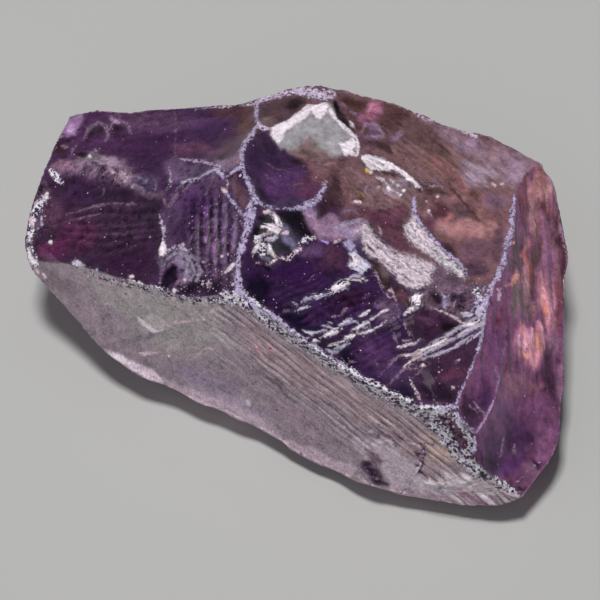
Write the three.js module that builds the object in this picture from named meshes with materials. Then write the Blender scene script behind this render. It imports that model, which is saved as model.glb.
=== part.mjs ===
// Rough amethyst: one broken lump of clear violet quartz, as it is before it is cut, with no crystal faces.
// Its skin is a net of shell-shaped fracture faces, each a shallow dish, that meet in sharp crooked ridges.
// Millimetres, +Z up. The stone rests on z = 0 with the origin under the middle of its box.
// +X is its length, and the tall pale broken side looks towards -Y.
import * as THREE from "three";

// Driving dimensions
const STONE_LENGTH = 27.1; // mm, from the left tip to the right side, as the picture's plane shows it
const LEFT_TIP_ACROSS = 25; // pixels across the picture
const RIGHT_SIDE_ACROSS = 567; // pixels across the picture
const PICTURE_MIDDLE = 300; // pixels, across and down
const VIEW_ELEVATION = 50; // degrees above the table
const VIEW_DISTANCE = 120; // mm from the eye to the plane that the picture is measured in
const VIEW_AIM_HEIGHT = 5; // mm above the table, where the eye looks
const LONGEST_EDGE = 0.85; // mm, the coarsest step of the faceted skin
const SPLITTING_ROUNDS = 5; // each halves what is still longer than its limit
const RIDGE_WANDER = 0.055; // share of its length by which a stretch of ridge strays from straight
const RELAXING_ROUNDS = 120; // passes that draw each face taut between its ridges
const SAGGING_ROUNDS = 240; // passes that sink each face into its dish
const WANDER_SEED = 7;
const STONE_COLOUR = 0x5a3380;

// The eye looks along +Y and down. Heights are above the table.
const elevation = THREE.MathUtils.degToRad(VIEW_ELEVATION);
const towardsEye = new THREE.Vector3(0, -Math.cos(elevation), Math.sin(elevation));
const upPicture = new THREE.Vector3(0, Math.sin(elevation), Math.cos(elevation));
const aim = new THREE.Vector3(0, 0, VIEW_AIM_HEIGHT);
const eye = aim.clone().addScaledVector(towardsEye, VIEW_DISTANCE);
const pixelsPerMillimetre = (RIGHT_SIDE_ACROSS - LEFT_TIP_ACROSS) / STONE_LENGTH;

// The point that shows at a pixel of the picture and lies at a height above the table, in mm.
function seen(across, down, height) {
  const onPlane = aim.clone();
  onPlane.x += (across - PICTURE_MIDDLE) / pixelsPerMillimetre;
  onPlane.addScaledVector(upPicture, (PICTURE_MIDDLE - down) / pixelsPerMillimetre);
  const sight = onPlane.clone().sub(eye);
  return eye.clone().addScaledVector(sight, (height - eye.z) / sight.z);
}

// A point out of the picture's sight, in mm.
function hidden(x, y, z) {
  return new THREE.Vector3(x, y, z);
}

// Corners where ridges meet, round the outline from the left tip
const leftTip = seen(25, 240, 4.6);
const leftNotch = seen(48, 163, 5.4);
const backLeft = seen(70, 117, 5.3);
const crestBack = seen(257, 99, 8.9);
const peak = seen(310, 85, 9.3);
const rimBack = seen(370, 98, 8.7);
const backRight = seen(542, 165, 5.7);
const rightSide = seen(563, 345, 3.4);
const frontRight = seen(522, 497, 1.7);
const ledgeFoot = seen(400, 495, 1.0);
const frontMiddle = seen(215, 408, 1.4);

// Corners on the front ridge, from the left tip to the right foot
const ribFoot = seen(163, 289, 7.7);
const chipFoot = seen(202, 296, 8.2);
const ridgeMeeting = seen(238, 290, 8.9);
const hackleFoot = seen(287, 327, 8.5);
const creaseFoot = seen(392, 394, 6.9);
const crushedStart = seen(425, 410, 6.4);
const southMeeting = seen(455, 407, 6.3);
const sliverFoot = seen(478, 433, 5.3);
const crushedFoot = seen(484, 469, 3.9);

// Corners on the central ridge and left of it
const fork = seen(257, 125, 9.7);
const saddle = seen(241, 168, 10.2);
const crown = seen(256, 203, 10.5);
const chipWest = seen(246, 243, 9.9);
const bandEnd = seen(162, 195, 8.1);
const greyChipTop = seen(163, 247, 7.8);

// Corners of the small faces right of the central ridge
const windowWest = seen(270, 130, 9.6);
const windowTip = seen(310, 103, 9.4);
const windowEast = seen(357, 138, 9.1);
const windowFoot = seen(357, 155, 8.8);
const windowSouth = seen(321, 156, 9.0);
const rimCorner = seen(315, 202, 9.2);
const chipEast = seen(312, 238, 9.0);
const shelfWest = seen(356, 230, 8.2);
const shelfMeeting = seen(445, 269, 7.2);
const shelfEast = seen(467, 279, 7.1);
const bladeTop = seen(419, 189, 7.9);
const creaseTop = seen(388, 272, 7.2);
const creaseMiddle = seen(404, 347, 6.6);

// Corners on the right ridge
const bowlEast = seen(514, 202, 6.9);
const rightKnee = seen(490, 290, 7.5);
const bandThreeEast = seen(484, 320, 7.4);
const sliverTop = seen(506, 330, 6.3);

// Corners of the pit in the front side and of the ledge at its foot
const pitTop = seen(364, 446, 3.3);
const pitFoot = seen(374, 487, 1.3);

// Corners of the hidden back and of the flat underside
const backLeftLow = hidden(-9.6, 11.4, 2.5);
const backMiddleLow = hidden(-0.8, 12.0, 3.0);
const backRightLow = hidden(9.4, 8.6, 2.1);
const baseLeft = hidden(-9.4, 3.0, 0);
const baseBackLeft = hidden(-7.6, 8.8, 0);
const baseBack = hidden(0.4, 9.6, 0);
const baseBackRight = hidden(7.9, 6.2, 0);
const baseRight = hidden(10.8, -1.6, 0);
const baseFrontRight = hidden(9.3, -8.6, 0);
const baseFront = hidden(2.6, -7.0, 0);
const baseFrontLeft = hidden(-4.4, -2.7, 0);

// A point deep inside the stone, which every face looks away from
const heart = hidden(0, 0.5, 5);

// Ridges of the outline as the picture shows it
const outline = {
  leftLow: [leftTip, seen(30, 213, 4.9), seen(38, 187, 5.2), leftNotch],
  leftHigh: [leftNotch, seen(60, 138, 5.4), backLeft],
  backLeft: [
    backLeft, seen(84, 112, 5.6), seen(118, 113, 6.2), seen(155, 110, 6.8),
    seen(200, 107, 7.6), seen(238, 106, 8.5), crestBack,
  ],
  crest: [crestBack, seen(282, 91, 9.2), peak],
  rim: [peak, seen(338, 88, 9.0), rimBack],
  backRight: [
    rimBack, seen(400, 106, 8.3), seen(430, 119, 7.8), seen(462, 131, 7.1),
    seen(500, 142, 6.4), seen(524, 153, 6.0), backRight,
  ],
  rightHigh: [
    backRight, seen(555, 188, 5.4), seen(561, 220, 4.9), seen(567, 262, 4.4), seen(566, 305, 3.9), rightSide,
  ],
  rightLow: [rightSide, seen(564, 385, 2.9), seen(562, 428, 2.4), seen(549, 464, 2.0), frontRight],
  frontRight: [frontRight, seen(500, 507, 1.3), seen(462, 505, 1.0), seen(430, 500, 1.0), ledgeFoot],
  shell: [ledgeFoot, pitFoot],
  front: [pitFoot, seen(340, 473, 0.9), seen(300, 455, 0.9), seen(262, 430, 1.1), frontMiddle],
  frontLeft: [
    frontMiddle, seen(172, 388, 1.6), seen(140, 378, 1.8), seen(110, 357, 2.2), seen(80, 323, 2.9),
    seen(49, 289, 3.7), seen(28, 262, 4.3), leftTip,
  ],
};

// The front ridge parts the pale broken side from the top
const frontRidge = {
  left: [leftTip, seen(58, 262, 5.7), seen(95, 269, 6.7), seen(130, 281, 7.3), ribFoot],
  underChip: [ribFoot, seen(183, 297, 7.9), chipFoot],
  toMeeting: [chipFoot, seen(221, 295, 8.6), ridgeMeeting],
  upper: [ridgeMeeting, seen(258, 305, 8.8), hackleFoot],
  middle: [hackleFoot, seen(306, 342, 8.2), seen(325, 355, 7.8), seen(358, 377, 7.3), creaseFoot],
  right: [creaseFoot, crushedStart],
  crushed: [crushedStart, southMeeting],
  turn: [southMeeting, seen(468, 425, 5.8), sliverFoot],
  down: [sliverFoot, seen(482, 450, 4.7), crushedFoot],
  foot: [crushedFoot, seen(500, 484, 2.7), frontRight],
};

// The central ridge carries the highest point
const centralRidge = {
  back: [crestBack, fork],
  upper: [fork, seen(243, 149, 10.0), saddle],
  crown: [saddle, seen(250, 187, 10.4), crown],
  lower: [crown, seen(252, 222, 10.3), chipWest],
  foot: [chipWest, seen(237, 268, 9.4), ridgeMeeting],
};

// Ridges of the left side
const leftRidges = {
  glitterBand: [leftNotch, seen(90, 161, 6.7), seen(118, 169, 7.4), seen(140, 186, 7.8), bandEnd],
  branch: [bandEnd, seen(180, 188, 8.6), seen(203, 178, 9.2), seen(222, 170, 9.8), saddle],
  ribEdge: [bandEnd, seen(161, 222, 7.9), greyChipTop],
  greyChipSide: [greyChipTop, seen(159, 268, 7.6), ribFoot],
  greyChipRim: [greyChipTop, seen(184, 243, 8.3), seen(197, 262, 8.5), chipFoot],
};

// Ridges of the faces right of the central ridge
const middleRidges = {
  forkToWindow: [fork, windowWest],
  windowBack: [windowWest, seen(290, 119, 9.6), windowTip],
  windowToPeak: [windowTip, peak],
  windowRight: [windowTip, seen(336, 115, 9.2), windowEast],
  windowToRim: [windowEast, seen(362, 118, 8.6), rimBack],
  windowEnd: [windowEast, windowFoot],
  windowFront: [windowFoot, windowSouth],
  windowLeft: [windowSouth, seen(283, 151, 9.3), windowWest],
  bowlRim: [crown, seen(270, 209, 10.0), seen(292, 209, 9.6), rimCorner],
  bowlEnd: [rimCorner, seen(325, 184, 9.1), windowSouth],
  chipTop: [crown, seen(285, 222, 9.7), chipEast],
  chipRim: [chipEast, seen(294, 256, 9.0), seen(268, 265, 9.3), chipWest],
  chipToBowl: [chipEast, rimCorner],
  chipToShelf: [chipEast, seen(336, 244, 8.4), shelfWest],
  streak: [windowFoot, seen(378, 159, 8.5), seen(401, 168, 8.2), bladeTop],
  bladeLeft: [bladeTop, seen(408, 208, 7.95), seen(403, 226, 7.85), seen(420, 250, 7.5), shelfMeeting],
  bladeRight: [bladeTop, seen(417, 215, 7.75), seen(431, 236, 7.6), seen(452, 259, 7.35), shelfEast],
  bladeFoot: [shelfMeeting, shelfEast],
  shelfBack: [shelfWest, seen(374, 228, 8.0), seen(396, 250, 7.6), seen(424, 262, 7.4), shelfMeeting],
  shelfLeft: [shelfWest, seen(364, 249, 7.8), creaseTop],
  shelfFront: [creaseTop, seen(412, 287, 7.0), seen(431, 281, 7.1), shelfMeeting],
  hackleLine: [hackleFoot, seen(303, 304, 8.35), seen(327, 292, 8.1), seen(349, 281, 7.75), creaseTop],
  creaseUpper: [creaseTop, seen(389, 292, 7.0), seen(401, 318, 6.7), creaseMiddle],
  creaseLower: [creaseMiddle, seen(399, 370, 6.7), creaseFoot],
  bandThree: [creaseMiddle, seen(430, 343, 6.8), seen(459, 330, 7.1), bandThreeEast],
  knee: [shelfEast, rightKnee],
  bowlBack: [bladeTop, seen(437, 187, 7.7), seen(470, 190, 7.4), bowlEast],
};

// The right ridge parts the top from the right side
const rightRidge = {
  top: [backRight, seen(522, 176, 6.3), bowlEast],
  bowl: [bowlEast, seen(509, 233, 7.3), seen(502, 268, 7.5), rightKnee],
  fibrous: [rightKnee, bandThreeEast],
  lower: [bandThreeEast, seen(477, 352, 7.1), seen(464, 386, 6.6), southMeeting],
  fold: [bandThreeEast, sliverTop],
  foldOut: [sliverTop, seen(534, 340, 4.9), rightSide],
  sliver: [sliverTop, seen(499, 378, 5.7), seen(491, 406, 5.4), sliverFoot],
};

// Ridges on the front side: a soft change of slope, a pit, and the ledge along its right foot
const frontRidges = {
  slopeChange: [ridgeMeeting, seen(226, 326, 6.9), seen(208, 365, 3.9), frontMiddle],
  crushedEdge: [crushedStart, seen(441, 441, 4.5), crushedFoot],
  ledge: [ledgeFoot, seen(428, 483, 2.3), seen(462, 487, 2.4), crushedFoot],
  pitLeft: [pitTop, seen(361, 466, 2.05), pitFoot],
  pitRight: [pitTop, seen(379, 455, 3.15), seen(383, 474, 2.0), pitFoot],
  shell: [pitTop, seen(396, 438, 4.25), seen(425, 446, 4.1), seen(424, 466, 3.05), ledgeFoot],
};

// Ridges that no one sees in the picture
const hiddenRidges = {
  backLeftDown: [backLeft, backLeftLow],
  backMiddleDown: [crestBack, hidden(-1.8, 11.6, 6.0), backMiddleLow],
  backRightDown: [backRight, hidden(11.6, 8.9, 4.0), backRightLow],
  backLowLeft: [backLeftLow, hidden(-5.2, 12.4, 2.8), backMiddleLow],
  backLowRight: [backMiddleLow, hidden(4.6, 11.2, 2.6), backRightLow],
  baseFromLeft: [leftTip, hidden(-11.8, 3.8, 1.7), baseLeft],
  baseFromBackLeft: [backLeftLow, baseBackLeft],
  baseFromBack: [backMiddleLow, baseBack],
  baseFromBackRight: [backRightLow, baseBackRight],
  baseFromRight: [rightSide, baseRight],
  baseFromFrontRight: [frontRight, baseFrontRight],
  baseFromFront: [ledgeFoot, baseFront],
  baseFromFrontLeft: [frontMiddle, baseFrontLeft],
};

// The edge of the flat underside
const base = {
  left: [baseLeft, baseBackLeft],
  backLeft: [baseBackLeft, hidden(-3.8, 9.7, 0), baseBack],
  backRight: [baseBack, hidden(4.4, 8.4, 0), baseBackRight],
  rightBack: [baseBackRight, hidden(9.9, 2.4, 0), baseRight],
  right: [baseRight, hidden(10.6, -5.4, 0), baseFrontRight],
  frontRight: [baseFrontRight, hidden(6.2, -8.4, 0), baseFront],
  front: [baseFront, hidden(-0.8, -4.7, 0), baseFrontLeft],
  frontLeft: [baseFrontLeft, hidden(-7.6, -0.3, 0), baseLeft],
};

// Each fracture face: its name, how deep its dish is in mm, and the ridges round it in order.
const faces = [
  ["upper left", 0.45, outline.leftHigh, outline.backLeft, centralRidge.back, centralRidge.upper,
    leftRidges.branch, leftRidges.glitterBand],
  ["lower left", 0.6, outline.leftLow, leftRidges.glitterBand, leftRidges.ribEdge, leftRidges.greyChipSide,
    frontRidge.left],
  ["ribbed", 0.4, leftRidges.ribEdge, leftRidges.branch, centralRidge.crown, centralRidge.lower,
    centralRidge.foot, frontRidge.toMeeting, leftRidges.greyChipRim],
  ["grey chip", 0.35, leftRidges.greyChipSide, leftRidges.greyChipRim, frontRidge.underChip],
  ["crest", 0.15, outline.crest, middleRidges.windowToPeak, middleRidges.windowBack,
    middleRidges.forkToWindow, centralRidge.back],
  ["rim", 0.3, outline.rim, middleRidges.windowToRim, middleRidges.windowRight, middleRidges.windowToPeak],
  ["window", 0.06, middleRidges.windowBack, middleRidges.windowRight, middleRidges.windowEnd,
    middleRidges.windowFront, middleRidges.windowLeft],
  ["small bowl", 0.55, centralRidge.upper, centralRidge.crown, middleRidges.bowlRim, middleRidges.bowlEnd,
    middleRidges.windowLeft, middleRidges.forkToWindow],
  ["dark nick", 0.3, middleRidges.bowlRim, middleRidges.chipToBowl, middleRidges.chipTop],
  ["mottled chip", 0.3, middleRidges.chipTop, middleRidges.chipRim, centralRidge.lower],
  ["great scoop", 0.6, centralRidge.foot, middleRidges.chipRim, middleRidges.chipToShelf,
    middleRidges.shelfLeft, middleRidges.hackleLine, frontRidge.upper],
  ["hackled floor", 0.4, middleRidges.hackleLine, middleRidges.creaseUpper, middleRidges.creaseLower,
    frontRidge.middle],
  ["saddle", 0.25, middleRidges.bowlEnd, middleRidges.windowFront, middleRidges.streak,
    middleRidges.bladeLeft, middleRidges.shelfBack, middleRidges.chipToShelf, middleRidges.chipToBowl],
  ["blade", 0.06, middleRidges.bladeLeft, middleRidges.bladeFoot, middleRidges.bladeRight],
  ["shelf", 0.1, middleRidges.shelfLeft, middleRidges.shelfFront, middleRidges.shelfBack],
  ["brown hollow", 0.3, middleRidges.creaseUpper, middleRidges.shelfFront, middleRidges.bladeFoot,
    middleRidges.knee, rightRidge.fibrous, middleRidges.bandThree],
  ["maroon hollow", 0.35, middleRidges.creaseLower, middleRidges.bandThree, rightRidge.lower,
    frontRidge.crushed, frontRidge.right],
  ["right bowl", 0.45, middleRidges.bladeRight, middleRidges.knee, rightRidge.bowl, middleRidges.bowlBack],
  ["back right", 0.35, outline.backRight, rightRidge.top, middleRidges.bowlBack, middleRidges.streak,
    middleRidges.windowEnd, middleRidges.windowToRim],
  ["right side", 0.4, outline.rightHigh, rightRidge.foldOut, rightRidge.fold, rightRidge.fibrous,
    rightRidge.bowl, rightRidge.top],
  ["right foot", 0.45, rightRidge.foldOut, outline.rightLow, frontRidge.foot, frontRidge.down,
    rightRidge.sliver],
  ["sliver", 0.15, rightRidge.fold, rightRidge.sliver, frontRidge.turn, rightRidge.lower],
  ["front left", 0.3, frontRidge.left, frontRidge.underChip, frontRidge.toMeeting,
    frontRidges.slopeChange, outline.frontLeft],
  ["front", 0.35, frontRidge.upper, frontRidge.middle, frontRidge.right, frontRidges.crushedEdge, frontRidges.ledge,
    frontRidges.shell, frontRidges.pitLeft, outline.front, frontRidges.slopeChange],
  ["crushed corner", 0.15, frontRidge.crushed, frontRidge.turn, frontRidge.down, frontRidges.crushedEdge],
  ["ledge", 0.2, frontRidges.ledge, frontRidge.foot, outline.frontRight],
  ["shell", 0.15, frontRidges.shell, outline.shell, frontRidges.pitRight],
  ["pit", 0.45, frontRidges.pitRight, frontRidges.pitLeft],
  ["left flank", 0.3, outline.leftLow, outline.leftHigh, hiddenRidges.backLeftDown,
    hiddenRidges.baseFromBackLeft, base.left, hiddenRidges.baseFromLeft],
  ["back left", 0.5, outline.backLeft, hiddenRidges.backMiddleDown, hiddenRidges.backLowLeft,
    hiddenRidges.backLeftDown],
  ["back middle", 0.6, outline.crest, outline.rim, outline.backRight, hiddenRidges.backRightDown,
    hiddenRidges.backLowRight, hiddenRidges.backMiddleDown],
  ["low back left", 0.2, hiddenRidges.backLowLeft, hiddenRidges.baseFromBack, base.backLeft,
    hiddenRidges.baseFromBackLeft],
  ["low back right", 0.2, hiddenRidges.backLowRight, hiddenRidges.baseFromBackRight, base.backRight,
    hiddenRidges.baseFromBack],
  ["low right", 0.3, outline.rightHigh, hiddenRidges.baseFromRight, base.rightBack,
    hiddenRidges.baseFromBackRight, hiddenRidges.backRightDown],
  ["low right foot", 0.15, outline.rightLow, hiddenRidges.baseFromFrontRight, base.right,
    hiddenRidges.baseFromRight],
  ["low ledge", 0.05, outline.frontRight, hiddenRidges.baseFromFront, base.frontRight,
    hiddenRidges.baseFromFrontRight],
  ["low front", 0.08, outline.shell, outline.front, hiddenRidges.baseFromFrontLeft, base.front,
    hiddenRidges.baseFromFront],
  ["low front left", 0.15, outline.frontLeft, hiddenRidges.baseFromLeft, base.frontLeft,
    hiddenRidges.baseFromFrontLeft],
  ["underside", 0, base.left, base.backLeft, base.backRight, base.rightBack, base.right,
    base.frontRight, base.front, base.frontLeft],
];

// Joins ridges end to end, each turned round where it has to be, into one closed loop of points.
function loopOf(name, ridges) {
  const second = ridges[1];
  const meetsSecond = (point) => point === second[0] || point === second.at(-1);
  const loop = meetsSecond(ridges[0].at(-1)) ? [...ridges[0]] : [...ridges[0]].reverse();
  for (const ridge of ridges.slice(1)) {
    const onward = ridge[0] === loop.at(-1) ? ridge : [...ridge].reverse();
    if (onward[0] !== loop.at(-1)) throw new Error("the ridges of the face " + name + " don't meet");
    loop.push(...onward.slice(1));
  }
  if (loop.pop() !== loop[0]) throw new Error("the face " + name + " isn't closed");
  return loop;
}

// The direction that a loop faces, as long as twice its area.
function loopNormal(loop) {
  const normal = new THREE.Vector3();
  loop.forEach((point, i) => normal.add(point.clone().cross(loop[(i + 1) % loop.length])));
  return normal;
}

// The middle of a loop, where each side counts by its length.
function loopMiddle(loop) {
  const middle = new THREE.Vector3();
  let length = 0;
  loop.forEach((point, i) => {
    const next = loop[(i + 1) % loop.length];
    const side = point.distanceTo(next);
    middle.addScaledVector(point.clone().add(next), side / 2);
    length += side;
  });
  return middle.divideScalar(length);
}

// A repeatable stream of numbers between -1 and 1: each state is the last one times a factor, wrapped round
// a large prime.
function wanderStream(seed) {
  const factor = 16807;
  const prime = 2 ** 31 - 1;
  let state = seed;
  return () => {
    state = (state * factor) % prime;
    return (2 * state) / prime - 1;
  };
}

const edgeKey = (a, b) => (a < b ? a + "_" + b : b + "_" + a);

// The coarse net: each face is a fan of triangles round its middle.
// A vertex has a point, and a face if it lies inside one. Ridge edges are kept by their key.
function coarseNet() {
  const vertices = [];
  const triangles = [];
  const ridgeEdges = new Set();
  const numberOf = new Map();
  const numbered = (point) => {
    if (!numberOf.has(point)) {
      numberOf.set(point, vertices.length);
      vertices.push({ point: point.clone(), face: null });
    }
    return numberOf.get(point);
  };
  const inwards = faces.map(([name, , ...ridges], face) => {
    const loop = loopOf(name, ridges);
    const middle = loopMiddle(loop);
    if (loopNormal(loop).dot(middle.clone().sub(heart)) < 0) loop.reverse();
    const centre = vertices.length;
    vertices.push({ point: middle, face });
    loop.forEach((point, i) => {
      const a = numbered(point);
      const b = numbered(loop[(i + 1) % loop.length]);
      ridgeEdges.add(edgeKey(a, b));
      triangles.push([a, b, centre]);
    });
    return loopNormal(loop).normalize().negate();
  });
  return { vertices, triangles, ridgeEdges, inwards };
}

// Splits every edge longer than a limit at its middle. Each triangle becomes 2, 3 or 4.
// The middle of a ridge edge strays a little, but one on the table stays on it.
function splitLongEdges(net, limit, wander) {
  const { vertices, ridgeEdges } = net;
  const middles = new Map();
  const middleOf = (a, b) => {
    const key = edgeKey(a, b);
    const from = vertices[a].point;
    const to = vertices[b].point;
    const length = from.distanceTo(to);
    if (length <= limit) return null;
    if (middles.has(key)) return middles.get(key);
    const point = from.clone().lerp(to, 0.5);
    const onRidge = ridgeEdges.has(key);
    if (onRidge) {
      const onTable = from.z === 0 && to.z === 0;
      point.x += wander() * length * RIDGE_WANDER;
      point.y += wander() * length * RIDGE_WANDER;
      point.z += onTable ? 0 : wander() * length * RIDGE_WANDER;
    }
    const made = vertices.length;
    vertices.push({ point, face: onRidge ? null : vertices[a].face ?? vertices[b].face });
    middles.set(key, made);
    if (onRidge) {
      ridgeEdges.delete(key);
      ridgeEdges.add(edgeKey(a, made));
      ridgeEdges.add(edgeKey(made, b));
    }
    return made;
  };
  const gap = (a, b) => vertices[a].point.distanceTo(vertices[b].point);
  net.triangles = net.triangles.flatMap(([a, b, c]) => {
    const ab = middleOf(a, b);
    const bc = middleOf(b, c);
    const ca = middleOf(c, a);
    return splitTriangle([a, b, c], [ab, bc, ca], gap);
  });
}

// The pieces of one triangle whose sides have the given middles, null where a side is whole.
function splitTriangle([a, b, c], [ab, bc, ca], gap) {
  const split = [ab, bc, ca].filter((middle) => middle !== null).length;
  if (split === 0) return [[a, b, c]];
  if (split === 3) return [[a, ab, ca], [ab, b, bc], [ca, bc, c], [ab, bc, ca]];
  if (split === 1) {
    if (ab === null) return splitTriangle([b, c, a], [bc, ca, ab], gap);
    return [[a, ab, c], [ab, b, c]];
  }
  if (ca !== null) return splitTriangle([b, c, a], [bc, ca, ab], gap);
  const rest = gap(a, bc) < gap(ab, c) ? [[a, ab, bc], [a, bc, c]] : [[a, ab, c], [ab, bc, c]];
  return [[ab, b, bc], ...rest];
}

// For each vertex, the numbers of those it shares an edge with.
function neighboursOf({ vertices, triangles }) {
  const around = vertices.map(() => new Set());
  for (const [a, b, c] of triangles) {
    around[a].add(b).add(c);
    around[b].add(c).add(a);
    around[c].add(a).add(b);
  }
  return around.map((set) => [...set]);
}

// Draws each face taut between its ridges: every inner vertex goes to the middle of those round it.
function relax(net, rounds) {
  const around = neighboursOf(net);
  for (let round = 0; round < rounds; round++) {
    net.vertices.forEach((vertex, i) => {
      if (vertex.face === null) return;
      vertex.point.set(0, 0, 0);
      for (const j of around[i]) vertex.point.add(net.vertices[j].point);
      vertex.point.divideScalar(around[i].length);
    });
  }
}

// Sinks each taut face into a dish, as a skin sags under an even load, to the depth that it is given.
function dish(net, rounds) {
  const around = neighboursOf(net);
  const sag = net.vertices.map(() => 0);
  for (let round = 0; round < rounds; round++) {
    net.vertices.forEach((vertex, i) => {
      if (vertex.face === null) return;
      const total = around[i].reduce((sum, j) => sum + sag[j], 0);
      sag[i] = total / around[i].length + 1;
    });
  }
  const deepest = faces.map(() => 0);
  net.vertices.forEach(({ face }, i) => {
    if (face !== null) deepest[face] = Math.max(deepest[face], sag[i]);
  });
  net.vertices.forEach(({ point, face }, i) => {
    if (face === null) return;
    const depth = faces[face][1];
    point.addScaledVector(net.inwards[face], (depth * sag[i]) / deepest[face]);
  });
}

// The whole stone as one closed geometry, moved so that the origin is under the middle of its box.
function stoneGeometry() {
  const net = coarseNet();
  const wander = wanderStream(WANDER_SEED);
  for (let round = SPLITTING_ROUNDS - 1; round >= 0; round--) {
    splitLongEdges(net, LONGEST_EDGE * 2 ** round, wander);
    relax(net, RELAXING_ROUNDS);
  }
  dish(net, SAGGING_ROUNDS);
  const geometry = new THREE.BufferGeometry();
  const places = new Float32Array(net.vertices.flatMap(({ point }) => point.toArray()));
  geometry.setAttribute("position", new THREE.BufferAttribute(places, 3));
  geometry.setIndex(net.triangles.flat());
  geometry.computeBoundingBox();
  const middle = geometry.boundingBox.getCenter(new THREE.Vector3());
  geometry.translate(-middle.x, -middle.y, -geometry.boundingBox.min.z);
  geometry.computeVertexNormals();
  return geometry;
}

const violetQuartz = new THREE.MeshStandardMaterial({
  color: STONE_COLOUR,
  roughness: 0.15,
  metalness: 0,
  flatShading: true,
});
const stone = new THREE.Mesh(stoneGeometry(), violetQuartz);
stone.name = "rough_amethyst";

const roughAmethyst = new THREE.Group();
roughAmethyst.name = "rough_amethyst_lump";
roughAmethyst.add(stone);

export default roughAmethyst;
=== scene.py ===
"""Rough amethyst: the looks of one broken lump of clear violet quartz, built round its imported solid.

The skin is the solid's own, split finer and drawn smooth between its ridges, then raised and sunk by
ripples, flakes and crushed grains that are functions of where a point shows in the picture. Lengths are in
millimetres until a mesh is written in metres.
"""
import math

import bpy
import numpy as np
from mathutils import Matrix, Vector


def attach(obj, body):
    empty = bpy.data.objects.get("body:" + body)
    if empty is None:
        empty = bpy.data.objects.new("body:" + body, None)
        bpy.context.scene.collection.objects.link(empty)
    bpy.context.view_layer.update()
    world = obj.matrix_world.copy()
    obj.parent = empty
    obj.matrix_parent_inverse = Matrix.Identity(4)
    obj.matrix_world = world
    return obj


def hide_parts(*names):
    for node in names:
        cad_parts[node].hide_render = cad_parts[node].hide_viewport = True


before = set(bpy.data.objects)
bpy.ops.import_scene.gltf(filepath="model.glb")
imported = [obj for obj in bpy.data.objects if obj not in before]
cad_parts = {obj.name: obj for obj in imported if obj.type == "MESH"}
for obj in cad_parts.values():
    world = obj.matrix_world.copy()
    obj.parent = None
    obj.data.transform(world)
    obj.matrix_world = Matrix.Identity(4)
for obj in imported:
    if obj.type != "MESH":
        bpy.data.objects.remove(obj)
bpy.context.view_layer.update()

NODE = "rough_amethyst"
MILLIMETRE = 0.001  # metres

# The eye and the picture
PIXELS_PER_MM = 20.0
PICTURE_MIDDLE = 300.0  # pixels, across and down
VIEW_ELEVATION = math.radians(50.0)
VIEW_DISTANCE = 120.0  # mm, from the eye to the picture's plane
VIEW_AIM_HEIGHT = 5.0
PICTURE_WIDTH = 2 * PICTURE_MIDDLE / PIXELS_PER_MM
SENSOR_WIDTH = 36.0
CROWN_IN_PICTURE = (256.0, 203.0)  # where the highest point shows, in pixels

TOWARDS_EYE = np.array([0.0, -math.cos(VIEW_ELEVATION), math.sin(VIEW_ELEVATION)])
UP_PICTURE = np.array([0.0, math.sin(VIEW_ELEVATION), math.cos(VIEW_ELEVATION)])
ACROSS_PICTURE = np.array([1.0, 0.0, 0.0])

# The skin's fineness
SEEN_EDGE = 0.15  # mm, the longest edge where the picture shows the skin
UNSEEN_EDGE = 0.42  # mm, the longest edge elsewhere
FINE_FACING = (-0.15, 0.2)  # from which cosine to the eye's line the edges grow fine, and over how much
COARSENESS = (4, 2, 1.4, 1)  # each splitting round's limit, as times the edges above
SMOOTHING_ROUNDS = 10
ON_FLOOR = 0.001  # mm, the height under which a point lies on the floor
RIDGE_ANGLE = math.radians(17.0)
RIDGE_REACH = 4.0  # mm, how far from a ridge its lines and grains may lie
RIDGE_STEPS = 24
SEEN_FACING = (-0.08, 0.05)  # between which cosines to the eye's line the picture starts to show the skin
HIDDEN_FACING = -0.12  # the cosine under which the skin is out of the picture's sight

# Sizes of relief, in mm
ROUGHNESS_HEIGHT = 0.03
STRIAE_HEIGHT = 0.02
SHELL_HEIGHT = 0.03
GRAIN_HEIGHT = 0.065
LINE_HEIGHTS = (0.008, 0.03)  # raised evenly, and by noise
# Raised where the painted highlights lie
GLINT_HEIGHTS = (0.05, 0.05)

# The stone's finish
FAR = 99.0  # pixels, stands for no mark near
MARK_REACH = 14.0  # pixels, how far round a mark the gap to it is worked out
OVERLAP = 0.3  # pixels, how far past its edge a mark hides the marks under it
# How much strands and grains change a mark's tone, how far it hides what is under it, how soft its edge is,
# and how many pixels it spreads past its outline: for the painted sheen, the wisps, the crushed lines and
# the painted highlights
SHEEN_FINISH = (0.8, 0.75, 0.88, 2.4, 0.0)
WISP_FINISH = (0.5, 0.6, 0.66, 1.0, 0.2)
LINE_FINISH = (0.0, 1.0, 0.92, 1.1, 0.0)
GLINT_FINISH = (1.0, 0.3, 0.96, 1.0, 0.3)
# How streaked the painted sheen patches are, and the wisps
SHEEN_STREAKED = 0.5  # how streaked the silver and the wisps are, from 0 to 1
WISP_STREAKED = 0.15
QUARTZ_IOR = 1.544
STREAK_LENGTH = 60.0  # pixels
STREAK_WIDTHS = (2.8, 3.6, 3.2)  # pixels
STRIAE_PITCH = 6.2  # pixels
# Unit directions, across and down: along the front's fine lines, up the right side, and over the scoop
STREAK_LEANS = ((0.788, 0.616, 0.0), (0.07, 0.998, 0.0), (0.891, -0.454, 0.0))
CLEAR_SHOWS = (0.036, 0.0165, 0.043)  # what the clear stone shows, in linear light
DARKEST = 0.003  # the least that the veil shows
PALEST = 0.95  # the palest that a surface may be
GRAIN_SHOWS = 0.9  # how bright the crushed grains show at most, against white in full light
HIDDEN_DEEP = (64, 40, 74)
HIDDEN_PALE = (136, 108, 130)
HIDDEN_LINE = (164, 144, 176)
SHELL_SOURCE = (-19.0, 15.0, 13.0)  # mm, the place from which the ripples on the hidden sides spread
SHELL_TURN = 4.2  # radians of ripple to the mm
SHELL_WANDER = 2.4

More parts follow.
